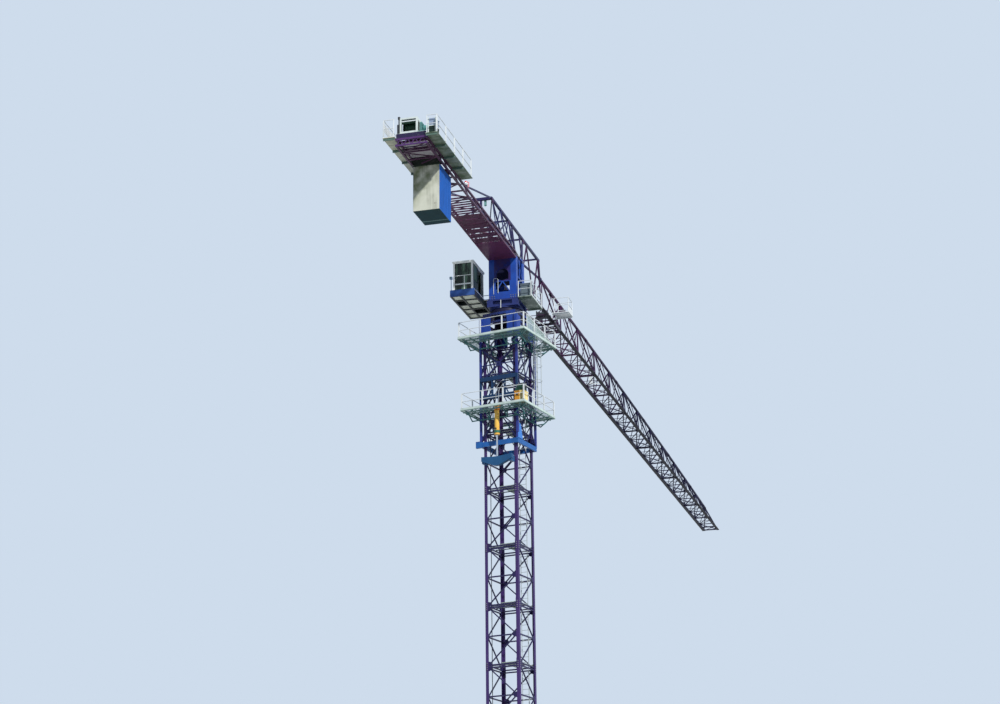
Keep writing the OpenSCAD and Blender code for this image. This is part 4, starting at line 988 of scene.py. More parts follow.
# %% [markdown]
# ## Gusset plates of the mast
# A lattice bar isn't welded to a leg by its end alone: a thin plate spreads its load. The plates
# lie in the plane of each face, one at the middle of a section and one at either end. A plate is
# a flat outline with a thickness, stood up on its edge, and the lower one is the upper one with
# its heights turned over.

# %% Mast gussets
GUSSET_T = 1.2 * MM
knee = half_mast - leg_width + 2 * MM
face_y = -half_mast + GUSSET_T
side_plate = plate(mm((0, -17), (20, -11), (27, 0), (20, 11), (0, 17)), GUSSET_T)
corner_up = plate(mm((0, -20), (12, -18), (26, 0), (26, 5), (0, 5)), GUSSET_T)
corner_down = (corner_up[0] * (1, -1, 1), corner_up[1][:, ::-1])
gussets = joined(
    copies(side_plate, grid_of([knee], [face_y], joints_z + section_pitch / 2), UPRIGHT_MIRRORED),
    copies(corner_up, grid_of([-knee], [face_y], joints_z + section_pitch - 7 * MM), UPRIGHT),
    copies(corner_down, grid_of([-knee], [face_y], joints_z + 7 * MM), UPRIGHT),
)
piece("mast_gussets", on_faces(gussets), "mast", "mast_plum", turned=True)

# %% [markdown]
# ## Conduit in the mast
# The supply for the slewing ring climbs inside the mast in a rigid steel tube, held by a clamp on
# the cross bars of each section. It is one straight sweep of a circle.

# %% Conduit
CONDUIT = (-52 * MM, half_mast - 14 * MM)
tube = swept(circle(2.2 * MM, 8), [(*CONDUIT, mast_foot + 12 * MM), (*CONDUIT, mast_top - 20 * MM)])
holds = grid_of([CONDUIT[0]], [CONDUIT[1]], joints_z[1:])
clamps = blocks(holds + mm(-4, -3, -8), holds + mm(4, 10, -3))
piece("mast_conduit", joined(tube, clamps), "mast", "galvanized", "dark_steel", turned=True)

# %% [markdown]
# ## Finer bracing of the climbing cage
# Three faces of the cage are closed and have a second, thinner zigzag that crosses the first one.
# It is drawn on one face and copied by quarter turns. The face with the opening has a stout cross
# above the feed beams, and its arms meet in a plate. A light blue plate stands on the lower ring
# at the left end of the right-hand face and guides the cage past the leg. Its lighter blue is a
# painted highlight for the sun on it.

# %% Cage bracing
LACE = 4.5 * MM
levels = cage_foot + mm(30, 204, 430, 653)
lace_at = -cage_half + 6 * MM
reach = cage_half - 8 * MM
lace_ends = grid_of([-reach, reach], [lace_at], levels[1:])
lace_feet = np.tile(grid_of([0], [lace_at], levels[:-1]), (2, 1))
zigzags = on_faces(bars(lace_ends, lace_feet, LACE), 3)

cross_low, cross_high = cage_top - 269 * MM, cage_top - 61 * MM
cross_middle = (lace_at, 0, (cross_low + cross_high) / 2)
cross = joined(
    bars([(lace_at, -reach, cross_low), (lace_at, reach, cross_low)],
         [(lace_at, reach, cross_high), (lace_at, -reach, cross_high)], 8.5 * MM),
    bars([(lace_at, -reach, cross_middle[2])], [(lace_at, reach, cross_middle[2])], 5 * MM),
    blocks(at(cross_middle, (-4, -14, -14)), at(cross_middle, (4, 14, 14))),
)
piece("cage_lacing", joined(zigzags, cross), "mast", "cage_blue", "cage_navy", turned=True)

# Painted highlight: the guide plate is painted a lighter blue for the sunlight on it.
guide = plate(mm((-122, -2), (-64, -2), (-90, 84), (-122, 84)), 3 * MM)
guide = copies(guide, [(0, -cage_half - 0.6 * MM, ring_top)], UPRIGHT)
piece("guide_plate", guide, "mast", "cage_blue", "sunlit_guide_blue", turned=True)

# %% [markdown]
# ## Gusset plates of the jib
# Across, the jib is a triangle: two lower chords and one upper chord, joined by two leaning planes
# of bars. Plates stand on the lower chords and hang from the upper one, and each lies in a leaning
# plane, so its frame has one axis along the jib and one up the lean. The upper chord slopes
# towards the tip, so its height at any place is read between the ends of the sections.

# %% The leaning planes
TIP_RISE = 130 * MM
panel = (jib_joints[1] - jib_joints[0]) / 2
jib_start = jib_joints[0] - 2 * panel
top_x = [*jib_joints, jib_joints[-1] + 2 * panel]
section_tops = [low_high("jib_section_%d" % k)[1][2] - TOP_CHORD / 2 for k in range(3, 8)]
top_heights = [section_tops[0], *section_tops, jib_z + TIP_RISE]


def on_chord(xs, side):
    """Points on the centre line of the right (-1) or the left (1) lower chord."""
    return np.column_stack([xs, np.full_like(xs, side * chord_y), np.full_like(xs, jib_z)])


def on_top(xs):
    """Points on the centre line of the upper chord, straight between the ends of the sections."""
    return np.column_stack([xs, 0 * xs, np.interp(xs, top_x, top_heights)])


def leaning(xs, side):
    """A frame in a leaning plane at each x: one axis along the jib, one up the lean, which is the
    step from chord to chord over its length, and their cross product."""
    lean = on_top(xs) - on_chord(xs, side)
    lean /= np.linalg.norm(lean, axis=1, keepdims=True)
    along = np.broadcast_to((1.0, 0.0, 0.0), lean.shape)
    return np.stack([along, lean, np.cross(along, lean)], -1)


print("panel of the jib", round(panel, 3), "top chord falls", round(top_heights[0] - top_heights[-1], 3))

# %% Jib gussets
foot_plate = plate(mm((-27, 0), (27, 0), (13, 22), (-13, 22)), 1.6 * MM)
head_plate = plate(mm((-12, -26), (12, -26), (26, -4), (-26, -4)), 1.6 * MM)
feet_x = np.arange(2, 15) * panel + jib_start
feet_x = feet_x[feet_x < jib_tip - panel / 2]
heads_x = (np.arange(2, 14) + 0.5) * panel + jib_start
gussets = []
for side in (-1, 1):
    frames = leaning(feet_x, side)
    gussets.append(copies(foot_plate, on_chord(feet_x, side) + frames[:, :, 1] * (4 * MM), frames))
    gussets.append(copies(head_plate, on_top(heads_x), leaning(heads_x, side)))
piece("jib_gussets", joined(*gussets), "upper_works", "jib_plum")

# %% [markdown]
# ## Pins that join the jib sections
# The jib is put together on the ground with pins: fork plates on one section, an eye on the next
# and a headed pin through both. The lower pins stand upright, so that the trolley's wheels can
# pass beside them, and the upper pins lie across. One pin is turned on the lathe, and all the
# others are copies of it.

# %% Jib joints
FORK_T = 2 * MM
joint_x = np.array(jib_joints)
lower = grid_of(joint_x, [-chord_y, chord_y], [jib_z])
upper = on_top(joint_x)
forks = [blocks(lower + (-20 * MM, -6 * MM, z), lower + (20 * MM, 6 * MM, z + FORK_T))
         for z in (CHORD / 2, -CHORD / 2 - FORK_T)]
forks += [blocks(upper + (-22 * MM, y, -6 * MM), upper + (22 * MM, y + FORK_T, 6 * MM))
          for y in (TOP_CHORD / 2, -TOP_CHORD / 2 - FORK_T)]
piece("jib_forks", joined(*forks), "upper_works", "jib_plum")

pin_mm = [(0, -12), (3, -12), (3, -10), (2.2, -10), (2.2, 10.4), (3.4, 10.4), (3.4, 12.4), (0, 12.4)]
pin = revolved(mm(*pin_mm), 12)
pair = mm((-11, 0, 0), (11, 0, 0))
lower_pins, upper_pins = ((place[:, None] + pair).reshape(-1, 3) for place in (lower, upper))
pins = joined(copies(pin, lower_pins), copies(pin, upper_pins, facing(0, 1, 0)))
piece("jib_pins", pins, "upper_works", "galvanized", "bolt_steel")

# %% [markdown]
# ## Finer bracing of the jib
# Between the large bays of the jib's underside lie thin bars, which keep the chords from
# twisting, and thin webs fill both leaning planes. All of them run from centre line to centre
# line, so each end is hidden in a chord.

# %% Jib lacing and webs
LACING = 3 * MM
rungs_x = np.arange(jib_start + panel / 4, jib_tip - panel / 4, panel / 4)
rungs = bars(on_chord(rungs_x, -1), on_chord(rungs_x, 1), LACING)
slants = bars(on_chord(rungs_x[::2], -1), on_chord(rungs_x[::2] + panel / 4, 1), LACING)
webs = [bars(on_chord(xs, side), on_top(xs), 1.5 * LACING) for side in (-1, 1) for xs in (feet_x, heads_x)]
piece("jib_lacing", joined(rungs, slants), "upper_works", "jib_plum")
piece("jib_webs", joined(*webs), "upper_works", "jib_plum")

# %% [markdown]
# ## The trolley winch and a lamp on the jib
# Near the tower the winch that pulls the trolley stands on two cross beams: a small drum between
# two side plates, a motor and a rail. Further out a white lamp box stands on a bar across the jib.
# Each group is written as steps in millimetres from one point of its own.

# %% Trolley winch and jib lamp
chord_mm = chord_y / MM
winch_at = (860 * MM, 0, jib_z)
beams = blocks(at(winch_at, (-62, -chord_mm, 8), (54, -chord_mm, 8)),
               at(winch_at, (-54, chord_mm, 15), (62, chord_mm, 15)))
cheeks = blocks(at(winch_at, (-62, -34, 15), (-62, 28, 15)), at(winch_at, (62, -29, 62), (62, 33, 62)))
drum = revolved(mm((0, -28), (26, -28), (26, -25), (19, -24), (19, 23), (26, 24), (26, 27), (0, 27)), 32,
                at(winch_at, (-14, 0, 48)), (0, 1, 0))
motor = revolved(mm((0, 0), (13, 0), (13, 40), (10, 44), (0, 44)), 24, at(winch_at, (34, -24, 52)), (0, 1, 0))
rail_y = 8 - chord_mm
rail = bars(at(winch_at, (-50, rail_y, 70), (-50, rail_y, 8)),
            at(winch_at, (60, rail_y, 70), (-50, rail_y, 72)), 4 * MM)
piece("trolley_winch", joined(beams, cheeks, drum), "upper_works", "trolley_dark", "dark_steel")
piece("trolley_motor", motor, "upper_works", "trolley_dark", "bolt_steel")

jib_lamp_at = (2210 * MM, 0, jib_z)
jib_lamp = joined(bars(at(jib_lamp_at, (0, -chord_mm, 6)), at(jib_lamp_at, (0, chord_mm, 6)), 4 * MM),
                  blocks(at(jib_lamp_at, (-9, 8, 6)), at(jib_lamp_at, (9, 28, 66))))
piece("jib_lamp", jib_lamp, "upper_works", "rail_white")
piece("trolley_winch_rail", rail, "upper_works", "rail_white")

# %% [markdown]
# ## The root truss
# Over the tower two upper chords carry the jib's pull back to the counter-jib. Plates hang at
# their nodes, thin webs run down to the counter-jib, and headed pins hold the tie bars' lugs. A
# white post and a small box stand on the truss's rear frame. Plates and pins are made once and
# copied to a grid of places, which keeps both sides of the truss alike.

# %% Plates, webs and pins of the root truss
TRUSS_Y, LUG_Y = 56 * MM, 77 * MM
WEB_ENDS_MM = ((-490, -490), (-325, -490), (-325, -300), (-150, -300), (-325, -150), (-150, -150))
truss_top = low_high("root_truss")[1][2]
truss_z = truss_top - 8 * MM
ear_y = TRUSS_Y + 5.5 * MM
ear = plate(mm((-24, 2), (-11, -26), (11, -26), (24, 2)), 1.8 * MM)
ear_spots = grid_of(mm(-500, -150, 160, 510), [-ear_y, ear_y], [truss_z - 5 * MM])
piece("truss_gussets", copies(ear, ear_spots, UPRIGHT), "upper_works", "jib_plum")
truss_webs = [
    bars([(head * MM, s * TRUSS_Y, truss_z)], [(foot * MM, s * LUG_Y, counter_high[2] - 2 * MM)], 5 * MM)
    for head, foot in WEB_ENDS_MM for s in (-1, 1)
]
piece("truss_webs", joined(*truss_webs), "upper_works", "jib_plum", "cage_navy")

truss_rear = (-500 * MM, 0, truss_top)
truss_post = bars(at(truss_rear, (0, 12, -76)), at(truss_rear, (0, 12, 6)), 5.5 * MM)
piece("truss_post", truss_post, "upper_works", "rail_white")
truss_box = blocks(at(truss_rear, (-5, -24, -48)), at(truss_rear, (5, -12, 0)))
piece("truss_box", truss_box, "upper_works", "jib_plum", "teal_steel")
tie_pin = revolved(mm((0, -9), (4.6, -9), (4.6, -7), (3.6, -7), (3.6, 7), (5, 7), (5, 9.4), (0, 9.4)), 14)
lugs = grid_of(mm(-1080, -410), [-LUG_Y, LUG_Y], [counter_high[2] + 9 * MM])
piece("tie_pins", copies(tie_pin, lugs, facing(0, 1, 0)), "upper_works", "galvanized", "bolt_steel")

# %% [markdown]
# ## The slewing ring and the tower's feet
# A ring of bolts in the slewing support holds the outer race of the bearing. The tower's columns
# stand on the turntable with bolted flanges and have such flanges at their heads too. The mast's
# bolt is used again in other sizes: on a circle for the ring, on a grid for each wall of the tower.

# %% Bolts of the slewing ring and the tower
RING_BOLTS = 40
RING_R = 102 * MM
ring_z = low_high("slewing_support")[1][2] - 24 * MM
ring_spots = np.append(circle(RING_R, RING_BOLTS), np.full((RING_BOLTS, 1), ring_z), axis=1)
piece("ring_bolts", copies(bolt(3.6 * MM), ring_spots), "mast", "tower_blue", "bolt_steel")

column = mm(50, 64, 78)
columns = np.concatenate([-column, column])
rows = tower_low[2] + mm(8, 20, 272, 282)
tower_faces = (
    (grid_of([tower_low[0]], columns, rows), facing(-1, 0, 0)),
    (grid_of([tower_high[0]], columns, rows), facing(1, 0, 0)),
    (grid_of(columns, [tower_high[1]], rows), facing(0, 1, 0)),
    (grid_of(columns, [tower_low[1]], rows), facing(0, -1, 0)),
)
heads = [copies(bolt(5 * MM), spots, outward) for spots, outward in tower_faces]
piece("tower_bolts", joined(*heads), "upper_works", "tower_blue", "bolt_steel")

# %% [markdown]
# ## Slewing motors and a grab rail
# The two slewing motors stand at opposite corners of the turntable, and thin fins round them lead
# their heat away. A fin is a flat disc. The grab rail on the tower's rear is a tube with rounded
# corners, swept along its path, with a straight stub at either end.

# %% Motor fins and grab rail
MOTOR = 47 * MM
PIPE = 3 * MM
fin = revolved(mm((0, 0), (16.6, 0), (16.6, 1.2), (0, 1.2)), 24)
fin_z = tower_low[2] + (20 + 5 * np.arange(10)) * MM
fin_spots = np.concatenate([grid_of([s * MOTOR], [-s * MOTOR], fin_z) for s in (-1, 1)])
piece("motor_fins", copies(fin, fin_spots), "upper_works", "tower_blue", "teal_steel")

rear_wall = (tower_low[0] - 3.5 * MM, 0, tower_low[2])
loop = at(rear_wall, (6, 53, 34), (0, 53, 37), (0, 53, 131), (0, 26, 128), (0, 26, 40), (6, 26, 37))
grab = swept(circle(PIPE / 2, 10), rounded(loop[1:-1], 8 * MM), hint=(1, 0, 0))
stubs = bars(loop[[0, 5]], loop[[1, 4]], PIPE)
post = bars(at(rear_wall, (-5.5, 9, -56)), at(rear_wall, (-5.5, 9, -6)), PIPE)
piece("tower_grab_rail", joined(grab, stubs, post), "upper_works", "rail_white")

# %% [markdown]
# ## Pipes and collars of the climbing unit
# The power unit pumps oil through steel pipes to the cylinder. They arch over the middle deck
# behind the mast's corner. The pipes are painted white, so that they show well in front of the
# dark lattice, and clamps hold them to the cage. The cylinder has a collar at either end. Both are
# rings round the barrel, because the rod slides through the bore.

# %% Pipes
unit_z = mid_z + DECK_T
pipe_at = (-cage_half - 7 * MM, 0, unit_z)
ARCHES_MM = (
    ((0, -128, 112), (0, -107, 126), (0, -63, 170), (0, -18, 164), (0, 12, 126), (0, 14, 34)),
    ((0, -128, 104), (0, -100, 114), (0, -66, 150), (0, -36, 148), (0, -6, 114), (0, -4, 34)),
)
pipes = [swept(circle(1.4 * MM, 10), rounded(at(pipe_at, *route), 12 * MM), hint=(1, 0, 0))
         for route in ARCHES_MM]
clamp_spots = at(pipe_at, (0, -18, 154), (0, 12, 74))
clamps = blocks(clamp_spots + mm(-4, -4, 0), clamp_spots + mm(6, 4, 7))
piece("hydraulic_pipes", joined(*pipes), "mast", "galvanized", turned=True)
piece("pipe_clamps", clamps, "mast", "cage_blue", "dark_steel", turned=True)

# %% Collars and port of the cylinder
barrel_low, barrel_high = low_high("cylinder_barrel")
barrel_foot = (-cage_half - 22 * MM, 0, barrel_low[2])
barrel_head = (-cage_half - 22 * MM, 0, barrel_high[2])
gland = revolved(mm((13, 0), (17.4, 0), (17.4, 14), (14.2, 16), (13, 16), (13, 0)), 40,
                 at(barrel_foot, (0, 0, 10.2)))
clevis = revolved(mm((13, 0), (15.2, 0), (15.2, 18), (14.2, 21), (13, 21), (13, 0)), 40,
                  at(barrel_head, (0, 0, -26)))
port = bars(at(barrel_foot, (-14, 0, 34)), at(barrel_foot, (-22, 0, 34)), 8 * MM)
piece("cylinder_gland", gland, "mast", "unit_yellow", "valve_green", turned=True)
piece("cylinder_clevis", clevis, "mast", "unit_yellow", "orange", turned=True)
piece("cylinder_port", port, "mast", "unit_yellow", "dark_steel", turned=True)

# %% [markdown]
# ## Fittings of the oil tank
# The tank of the power unit has a pressure gauge and a sight glass on its outer side, a lid held
# by bolts, a valve with its lever and a motor with upright fins. A white post stands beside it.
# All of them are placed from one corner of the tank.

# %% Tank fittings
tank = (-mid_half + 14 * MM, -mid_half + 12 * MM, unit_z)
lid = (tank[0], tank[1], unit_z + 66.3 * MM)
gauge = revolved(mm((0, 0), (5.4, 0), (5.4, 2.6), (4.6, 3.2), (4.2, 2.4), (0, 2.4)), 24,
                 at(tank, (0, 40, 48)), (-1, 0, 0))
sight = blocks(at(tank, (-1.4, 12, 14)), at(tank, (0, 18, 52)))
lid_bolts = at(lid, *((u, v, 3) for u in (3, 29, 55) for v in (1, 53)))
valve = blocks(at(lid, (8, 42, 2.8)), at(lid, (22, 54, 22)))
lever = bars(at(lid, (15, 48, 21)), at(lid, (6, 50, 40)), 2 * MM)
fin_feet = at(lid, *((3, 6 + 5 * k, 6) for k in range(7)))
fins = blocks(fin_feet, fin_feet + mm(50, 1.2, 35))
unit_post = bars(at(tank, (62, 18, 0)), at(tank, (62, 18, 118)), 3.4 * MM)
piece("tank_gauge", joined(gauge, sight), "mast", "unit_yellow", "dark_steel", turned=True)
piece("tank_bolts", copies(bolt(3 * MM), lid_bolts), "mast", "unit_yellow", "bolt_steel", turned=True)
piece("tank_valve", joined(valve, lever), "mast", "unit_yellow", "valve_green", turned=True)
piece("motor_housing_fins", fins, "mast", "unit_yellow", "valve_green", turned=True)
piece("unit_post", unit_post, "mast", "rail_white", turned=True)

# %% [markdown]
# ## Posts of the railings
# A railing's posts are stouter than its rails, because each is a tube pushed over a stub that is
# welded to the deck. The tubes are bars over the CAD posts, from above the toe board to just
# under the hand rail.

# %% Post tubes
POST = 6.5 * MM
POST_LOW, POST_HIGH = 15 * MM, 97 * MM


def posts(feet, deck_z):
    """Square tubes over the posts that stand at these feet."""
    feet = np.array([(x, y, deck_z) for x, y in feet])
    return bars(feet + (0, 0, POST_LOW), feet + (0, 0, POST_HIGH), POST)


for name, deck_z, half in (("middle", mid_z, mid_half), ("upper", upper_z, upper_half)):
    edge = half - 6 * MM
    ring_posts = on_faces(posts([(x, -edge) for x in (-edge, -edge / 3, edge / 3)], deck_z + DECK_T))
    piece(name + "_deck_posts", ring_posts, "mast", "rail_white", turned=True)
walk_posts = [(x, y) for x in np.arange(walk_low[0] + 6 * MM, walk_high[0], 152 * MM)
              for y in (walk_low[1] + 4 * MM, walk_high[1] - 4 * MM)]
piece("walkway_posts", posts(walk_posts, walk_z), "upper_works", "rail_white")

# %% [markdown]
# ## Wire mesh on the upper deck
# A triangle of wire mesh closes one side of the upper deck. It is made like the grating: a thin
# sheet whose cells are cut out by alpha, in a frame of real bars.

# %% Mesh panel and its frame
MESH_PITCH, MESH_WIRE = 7 * MM, 2.2 * MM
shade = Shade("wire mesh")
mesh_tint, mesh_rust = aged(shade, colour(196, 216, 214), colour(160, 188, 190), rust=0.01)
u, v, z = shade.xyz(shade.turned(-SLEW))
wires = (u.modulo(MESH_PITCH) < MESH_WIRE) | (z.modulo(MESH_PITCH) < MESH_WIRE)
paints["wire_mesh"] = shade.finish(mesh_tint, mesh_rust * 0.2 + 0.5, alpha=wires)

mesh_v = -209 * MM
head_u, head_z = -166 * MM, upper_z + 104 * MM
foot_u, foot_z = upper_half - 8 * MM, upper_z + 8 * MM
corners = [(head_u, head_z), (head_u, foot_z), (foot_u, foot_z)]
sheet = copies(plate(corners, 0.8 * MM), [(0, mesh_v, 0)], UPRIGHT)
piece("mesh_panel", sheet, "mast", "rail_white", "wire_mesh", turned=True)
mesh_frame = edged([(along, mesh_v, height) for along, height in corners], 3.6 * MM)
piece("mesh_frame", mesh_frame, "mast", "rail_white", turned=True)

# %% [markdown]
# ## Panels under the cab
# Cream sheets close the bays of the cab's underframe, a little above the lower edge of its beams.
# Two of the ten bays are open, and one looks through them. The corners of the sheets are worked
# out from the underframe's box, so that each sheet lies between its beams.

# %% Cab floor panels
BAYS = 5
BEAM = 10 * MM
OPEN_BAYS = ((1, 1), (3, 0))
frame_x = (base_low[0] + 2 * MM, base_high[0])
frame_y = (cab_low[1] - 18 * MM, base_high[1] - 2 * MM)
bay_l = (frame_x[1] - frame_x[0] - BEAM) / BAYS
split_y = frame_y[0] + 0.58 * (frame_y[1] - frame_y[0])
row_ends = ((frame_y[0] + BEAM, split_y - BEAM / 2), (split_y + BEAM / 2, frame_y[1] - BEAM))
bays = [(frame_x[0] + i * bay_l, *row_ends[j])
        for i in range(BAYS) for j in (0, 1) if (i, j) not in OPEN_BAYS]
lows = [(x + BEAM, y0, base_low[2] + 5 * MM) for x, y0, y1 in bays]
highs = [(x + bay_l, y1, base_low[2] + 6.5 * MM) for x, y0, y1 in bays]
piece("cab_floor_panels", blocks(lows, highs), "upper_works", "cab_white", "cream_panel")

# %% [markdown]
# ## The cab's trim
# Each pane sits in a black rubber gasket: four bars along the edges of the opening. The front
# window has a wiper, the side has a grab bar and hinges beside the door, and a gutter strip runs
# round the roof.

# %% Window gaskets
CAB_EDGE = 4 * MM
GASKET = 1.8 * MM
cab_x = (cab_low[0] + CAB_EDGE, cab_high[0] - 2 * CAB_EDGE)
cab_y = (cab_low[1] + CAB_EDGE, cab_high[1] - CAB_EDGE)
cab_z = cab_low[2]
sill, lintel = cab_z + 14 * MM, cab_z + 174 * MM


def gasket(first, second, level):
    """A rubber frame along the edges of the rectangle between two opposite corners. Level is the
    axis of its two level edges."""
    corners = np.array([first, first, second, second])
    corners[1, level], corners[3, level] = second[level], first[level]
    return edged(corners, GASKET)


gaskets = [gasket((x, cab_y[0] + 11 * MM, sill), (x, cab_y[1] - 11 * MM, lintel), 1)
           for x in (cab_x[0] + 0.4 * MM, cab_x[1] - 0.4 * MM)]
left_y, right_y = cab_y[1] - 0.6 * MM, cab_y[0] + 0.6 * MM
left_x, right_x = mm(13, -13) + cab_x, mm(15, 97) + cab_x[0]
gaskets += [gasket((left_x[0], left_y, cab_z + 71 * MM), (left_x[1], left_y, lintel), 0),
            gasket((right_x[0], right_y, cab_z + 77 * MM), (right_x[1], right_y, lintel), 0)]
piece("window_gaskets", joined(*gaskets), "upper_works", "cab_white", "rubber")

# %% Wiper, handle, hinges and gutter
wiper_at = (cab_x[1] + 1.2 * MM, cab_y[0], cab_z)
wiper = bars(at(wiper_at, (0, 50, 179), (0, 40, 120)), at(wiper_at, (0, 76, 96), (0, 92, 84)), 1.6 * MM)
door = (cab_x[0], cab_y[0], cab_z)
handle = at(door, (186, 0, 70), (186, -7, 70), (186, -7, 116), (186, 0, 116))
handle = swept(circle(1.5 * MM, 8), rounded(handle, 3 * MM), hint=(1, 0, 0))
hinge_feet = at(door, *((107, -1.6, height) for height in (30, 90, 140)))
hinges = blocks(hinge_feet, hinge_feet + mm(4, 1.6, 10))
gutter_z = cab_high[2] - 1.2 * MM
gutter = edged([(cab_low[0], cab_low[1], gutter_z), (cab_high[0], cab_low[1], gutter_z),
                (cab_high[0], cab_high[1], gutter_z), (cab_low[0], cab_high[1], gutter_z)], 2.6 * MM)
piece("cab_wiper", wiper, "upper_works", "cab_white", "rubber")
piece("cab_handle", joined(handle, hinges), "upper_works", "galvanized", "bolt_steel")
piece("cab_gutter", gutter, "upper_works", "cab_white")

# %% [markdown]
# ## Lamps
# A red obstruction lamp stands on the right tie lug. It is a turned body with a glass dome: the
# dome's profile is a quarter circle, radius times cosine out and radius times sine up. A pink
# reflector plate stands beside it, and the work lamp at the cab's corner gets a glass lens.

# %% Lamps
LAMP_SCALE = 1.5 * MM
shade = Shade("red lamp glass")
paints["red_glass"] = shade.finish(colour(196, 30, 40), 0.15, coat=0.8, gloss=0.5)
quarter = np.linspace(0, np.pi / 2, 6)[:-1]
dome = [(0, 7)] + [(7 * math.cos(a), 9 + 9 * math.sin(a)) for a in quarter] + [(0, 18)]
body = [(0, 0), (6, 0), (6, 3), (8, 3), (8, 8), (0, 8)]
lamp_at = np.array([-1080 * MM, -LUG_Y, counter_high[2] + 14.4 * MM])
reflector = blocks(at(lamp_at, (14, -13, -6)), at(lamp_at, (16, 13, 24)))
lens_at = (base_low[0] - 0.1 * MM, base_high[1] - 7 * MM, base_high[2] - 24 * MM)
lens = revolved(mm((0, 0), (5, 0), (4, 1.6), (0, 2.2)), 20, lens_at, (-1, 0, 0))
piece("reflector", reflector, "upper_works", "rail_white", "pink_plate")
piece("work_lamp_lens", lens, "upper_works", "cab_glass")
lamp_body, lamp_dome = (revolved(np.array(profile) * LAMP_SCALE, sides, lamp_at)
                        for profile, sides in ((body, 20), (dome, 24)))
piece("lamp_body", lamp_body, "upper_works", "rail_white")
piece("lamp_dome", lamp_dome, "upper_works", "cab_glass", "red_glass")

# %% [markdown]
# ## The rope on the winch
# Rope lies on the drum in one even layer. Its surface is the drum's radius plus the height of a
# half circle that repeats along the axis, which gives the round backs of the turns. That is one
# profile turned on the lathe, so the layer needs no separate turns.

# %% Rope layer
ROPE = 3.2 * MM
DRUM_R = 29 * MM
hoist = (winch_low[0] + 63 * MM, 14 * MM, counter_high[2])
along_drum = np.linspace(-30 * MM, 32 * MM, 20 * 8)
bulge = np.sqrt(np.maximum(0, 1 - (2 * ((along_drum / ROPE) % 1) - 1) ** 2)) * ROPE / 2
rope_back = np.stack([DRUM_R + 0.4 * MM + bulge, along_drum], -1)
first, last = along_drum[[0, -1]]
under = DRUM_R - 2 * MM
profile = np.concatenate([[(0, first), (under, first)], rope_back, [(under, last), (0, last)]])
rope = revolved(profile, 40, at(hoist, (0, 0, 72.3)), (0, 1, 0))
piece("rope_layer", rope, "upper_works", "winch_green", "drum_green")

# %% [markdown]
# ## Round the winch
# The gearbox has cooling ribs and the motor has a fan cowl. A beacon on a dark post, with its
# switch box, stands at the rear corner. A white bar and a thin plate close the upper rear of the
# frame, a roof sheet covers the drum, and a bare plate makes the floor. Blocks and bars are
# enough for most of this, and only the cowl and the beacon's lamp are turned.

# %% Ribs, cowl, beacon, guard and floor
rib_feet = at(hoist, *((-21, -60, 34 + 7 * k) for k in range(9)))
ribs = blocks(rib_feet, rib_feet + mm(56, 15, 1.6))
cowl = revolved(mm((0, 0), (19, 0), (19, 12), (16, 15), (0, 15)), 32, at(hoist, (16, -76, 74.3)), (0, -1, 0))
piece("winch_ribs", joined(ribs, cowl), "upper_works", "winch_green", "teal_steel")

rear = (winch_low[0], 0, counter_high[2])
beacon = joined(
    bars(at(rear, (8, 68, 28)), at(rear, (8, 68, 112)), 5 * MM),
    revolved(mm((0, 0), (5, 0), (6.5, 4), (6.5, 14), (0, 17)), 16, at(rear, (8, 68, 108))),
    blocks(at(rear, (1, 62, 29)), at(rear, (20, 76, 78))),
)
piece("beacon", beacon, "upper_works", "trolley_dark", "dark_steel")
piece("winch_bar", bars(at(rear, (6, -30, 93)), at(rear, (6, 60, 93)), 5 * MM), "upper_works", "rail_white")
guard = blocks(at(rear, (14, -30, 82)), at(rear, (15.2, 60, 105)))
roof = blocks(at(hoist, (-50, -38, 103)), at(hoist, (50, 40, 105)))
piece("winch_guard", joined(guard, roof), "upper_works", "winch_green", "drum_green")
winch_floor = blocks([(counter_low[0] + 52 * MM, counter_low[1] + 10 * MM, counter_high[2] + 0.8 * MM)],
                     [(weight_low[0] + 34 * MM, counter_high[1] - 10 * MM, counter_high[2] + 2.6 * MM)])
piece("winch_floor", winch_floor, "upper_works", "winch_green", "bare_plate")

# %% [markdown]
# ## Floor, backdrop and light
# A plain pale floor and a pale world stand behind the crane. The floor gives back only part of
# the light, because the camera looks up at the undersides, which are dark on the real crane. One
# sun with a small disc comes from behind the camera's right shoulder.

# %% Floor and world
FLOOR_HALF = 60.0
FLOOR_DROP = 1 * MM
BACKDROP = colour(206, 220, 236)
FILL = (0.72, 0.84, 1.0, 1.0)
FILL_STRENGTH = 0.42


def seen_by(put):
    """The three light path outputs that are 1 for camera, glossy and transmission rays."""
    path = put("ShaderNodeLightPath")
    return [path.outputs[kind] for kind in ("Is Camera Ray", "Is Glossy Ray", "Is Transmission Ray")]


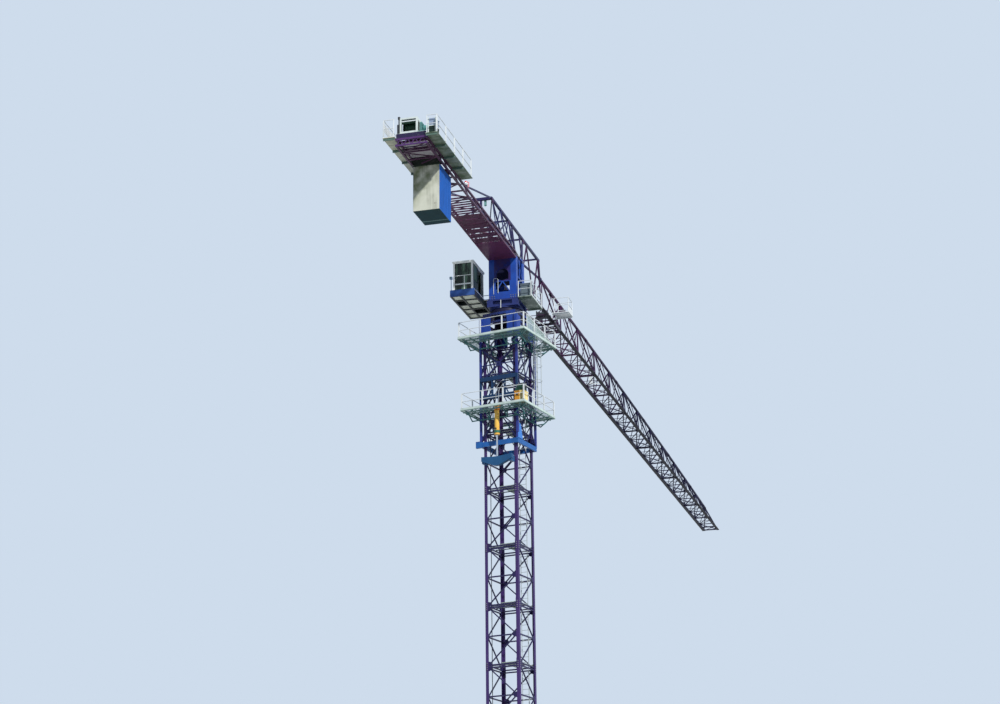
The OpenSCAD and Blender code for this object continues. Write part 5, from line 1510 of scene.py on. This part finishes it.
floor_mesh = bpy.data.meshes.new("floor")
corners = np.array([(-1, -1), (1, -1), (1, 1), (-1, 1)]) * FLOOR_HALF
floor_mesh.from_pydata([(*xy, -FLOOR_DROP) for xy in corners.tolist()], [], [(0, 1, 2, 3)])
floor = bpy.data.objects.new("floor", floor_mesh)
scene.collection.objects.link(floor)
shade = Shade("floor")
camera_ray, glossy_ray, clear_ray = (Wire(shade, ray) for ray in seen_by(shade.put))
shown = camera_ray | glossy_ray | clear_ray
floor_tint = shade.mix(shown, colour(166, 168, 168), colour(226, 230, 232))
floor_mesh.materials.append(shade.finish(floor_tint, 0.9))
print("floor", 2 * FLOOR_HALF, "m wide")

world = bpy.data.worlds.new("world")
scene.world = world
world.use_nodes = True
tree = world.node_tree
tree.nodes.clear()
rays = seen_by(tree.nodes.new)
either = tree.nodes.new("ShaderNodeMath")
either.operation = "MAXIMUM"
any_ray = tree.nodes.new("ShaderNodeMath")
any_ray.operation = "MAXIMUM"
fill = tree.nodes.new("ShaderNodeBackground")
fill.inputs["Color"].default_value = FILL
fill.inputs["Strength"].default_value = FILL_STRENGTH
pale = tree.nodes.new("ShaderNodeBackground")
pale.inputs["Color"].default_value = (*BACKDROP, 1.0)
chooser = tree.nodes.new("ShaderNodeMixShader")
world_out = tree.nodes.new("ShaderNodeOutputWorld")
for source, target in (
    (rays[0], either.inputs[0]),
    (rays[1], either.inputs[1]),
    (either.outputs[0], any_ray.inputs[0]),
    (rays[2], any_ray.inputs[1]),
    (any_ray.outputs[0], chooser.inputs[0]),
    (fill.outputs[0], chooser.inputs[1]),
    (pale.outputs[0], chooser.inputs[2]),
    (chooser.outputs[0], world_out.inputs["Surface"]),
):
    tree.links.new(source, target)

# %% Sun
SUN_FROM = Vector((-1.0, -1.0, 1.1))
SUN_STRENGTH = 3.8
SUN_DISC = math.radians(2.5)
SUN_TINT = (1.0, 0.96, 0.90)
sun_data = bpy.data.lights.new("sun", "SUN")
sun_data.energy = SUN_STRENGTH
sun_data.angle = SUN_DISC
sun_data.color = SUN_TINT
sun = bpy.data.objects.new("sun", sun_data)
sun.rotation_euler = SUN_FROM.to_track_quat("Z", "Y").to_euler()
scene.collection.objects.link(sun)
print("sun of strength", SUN_STRENGTH)
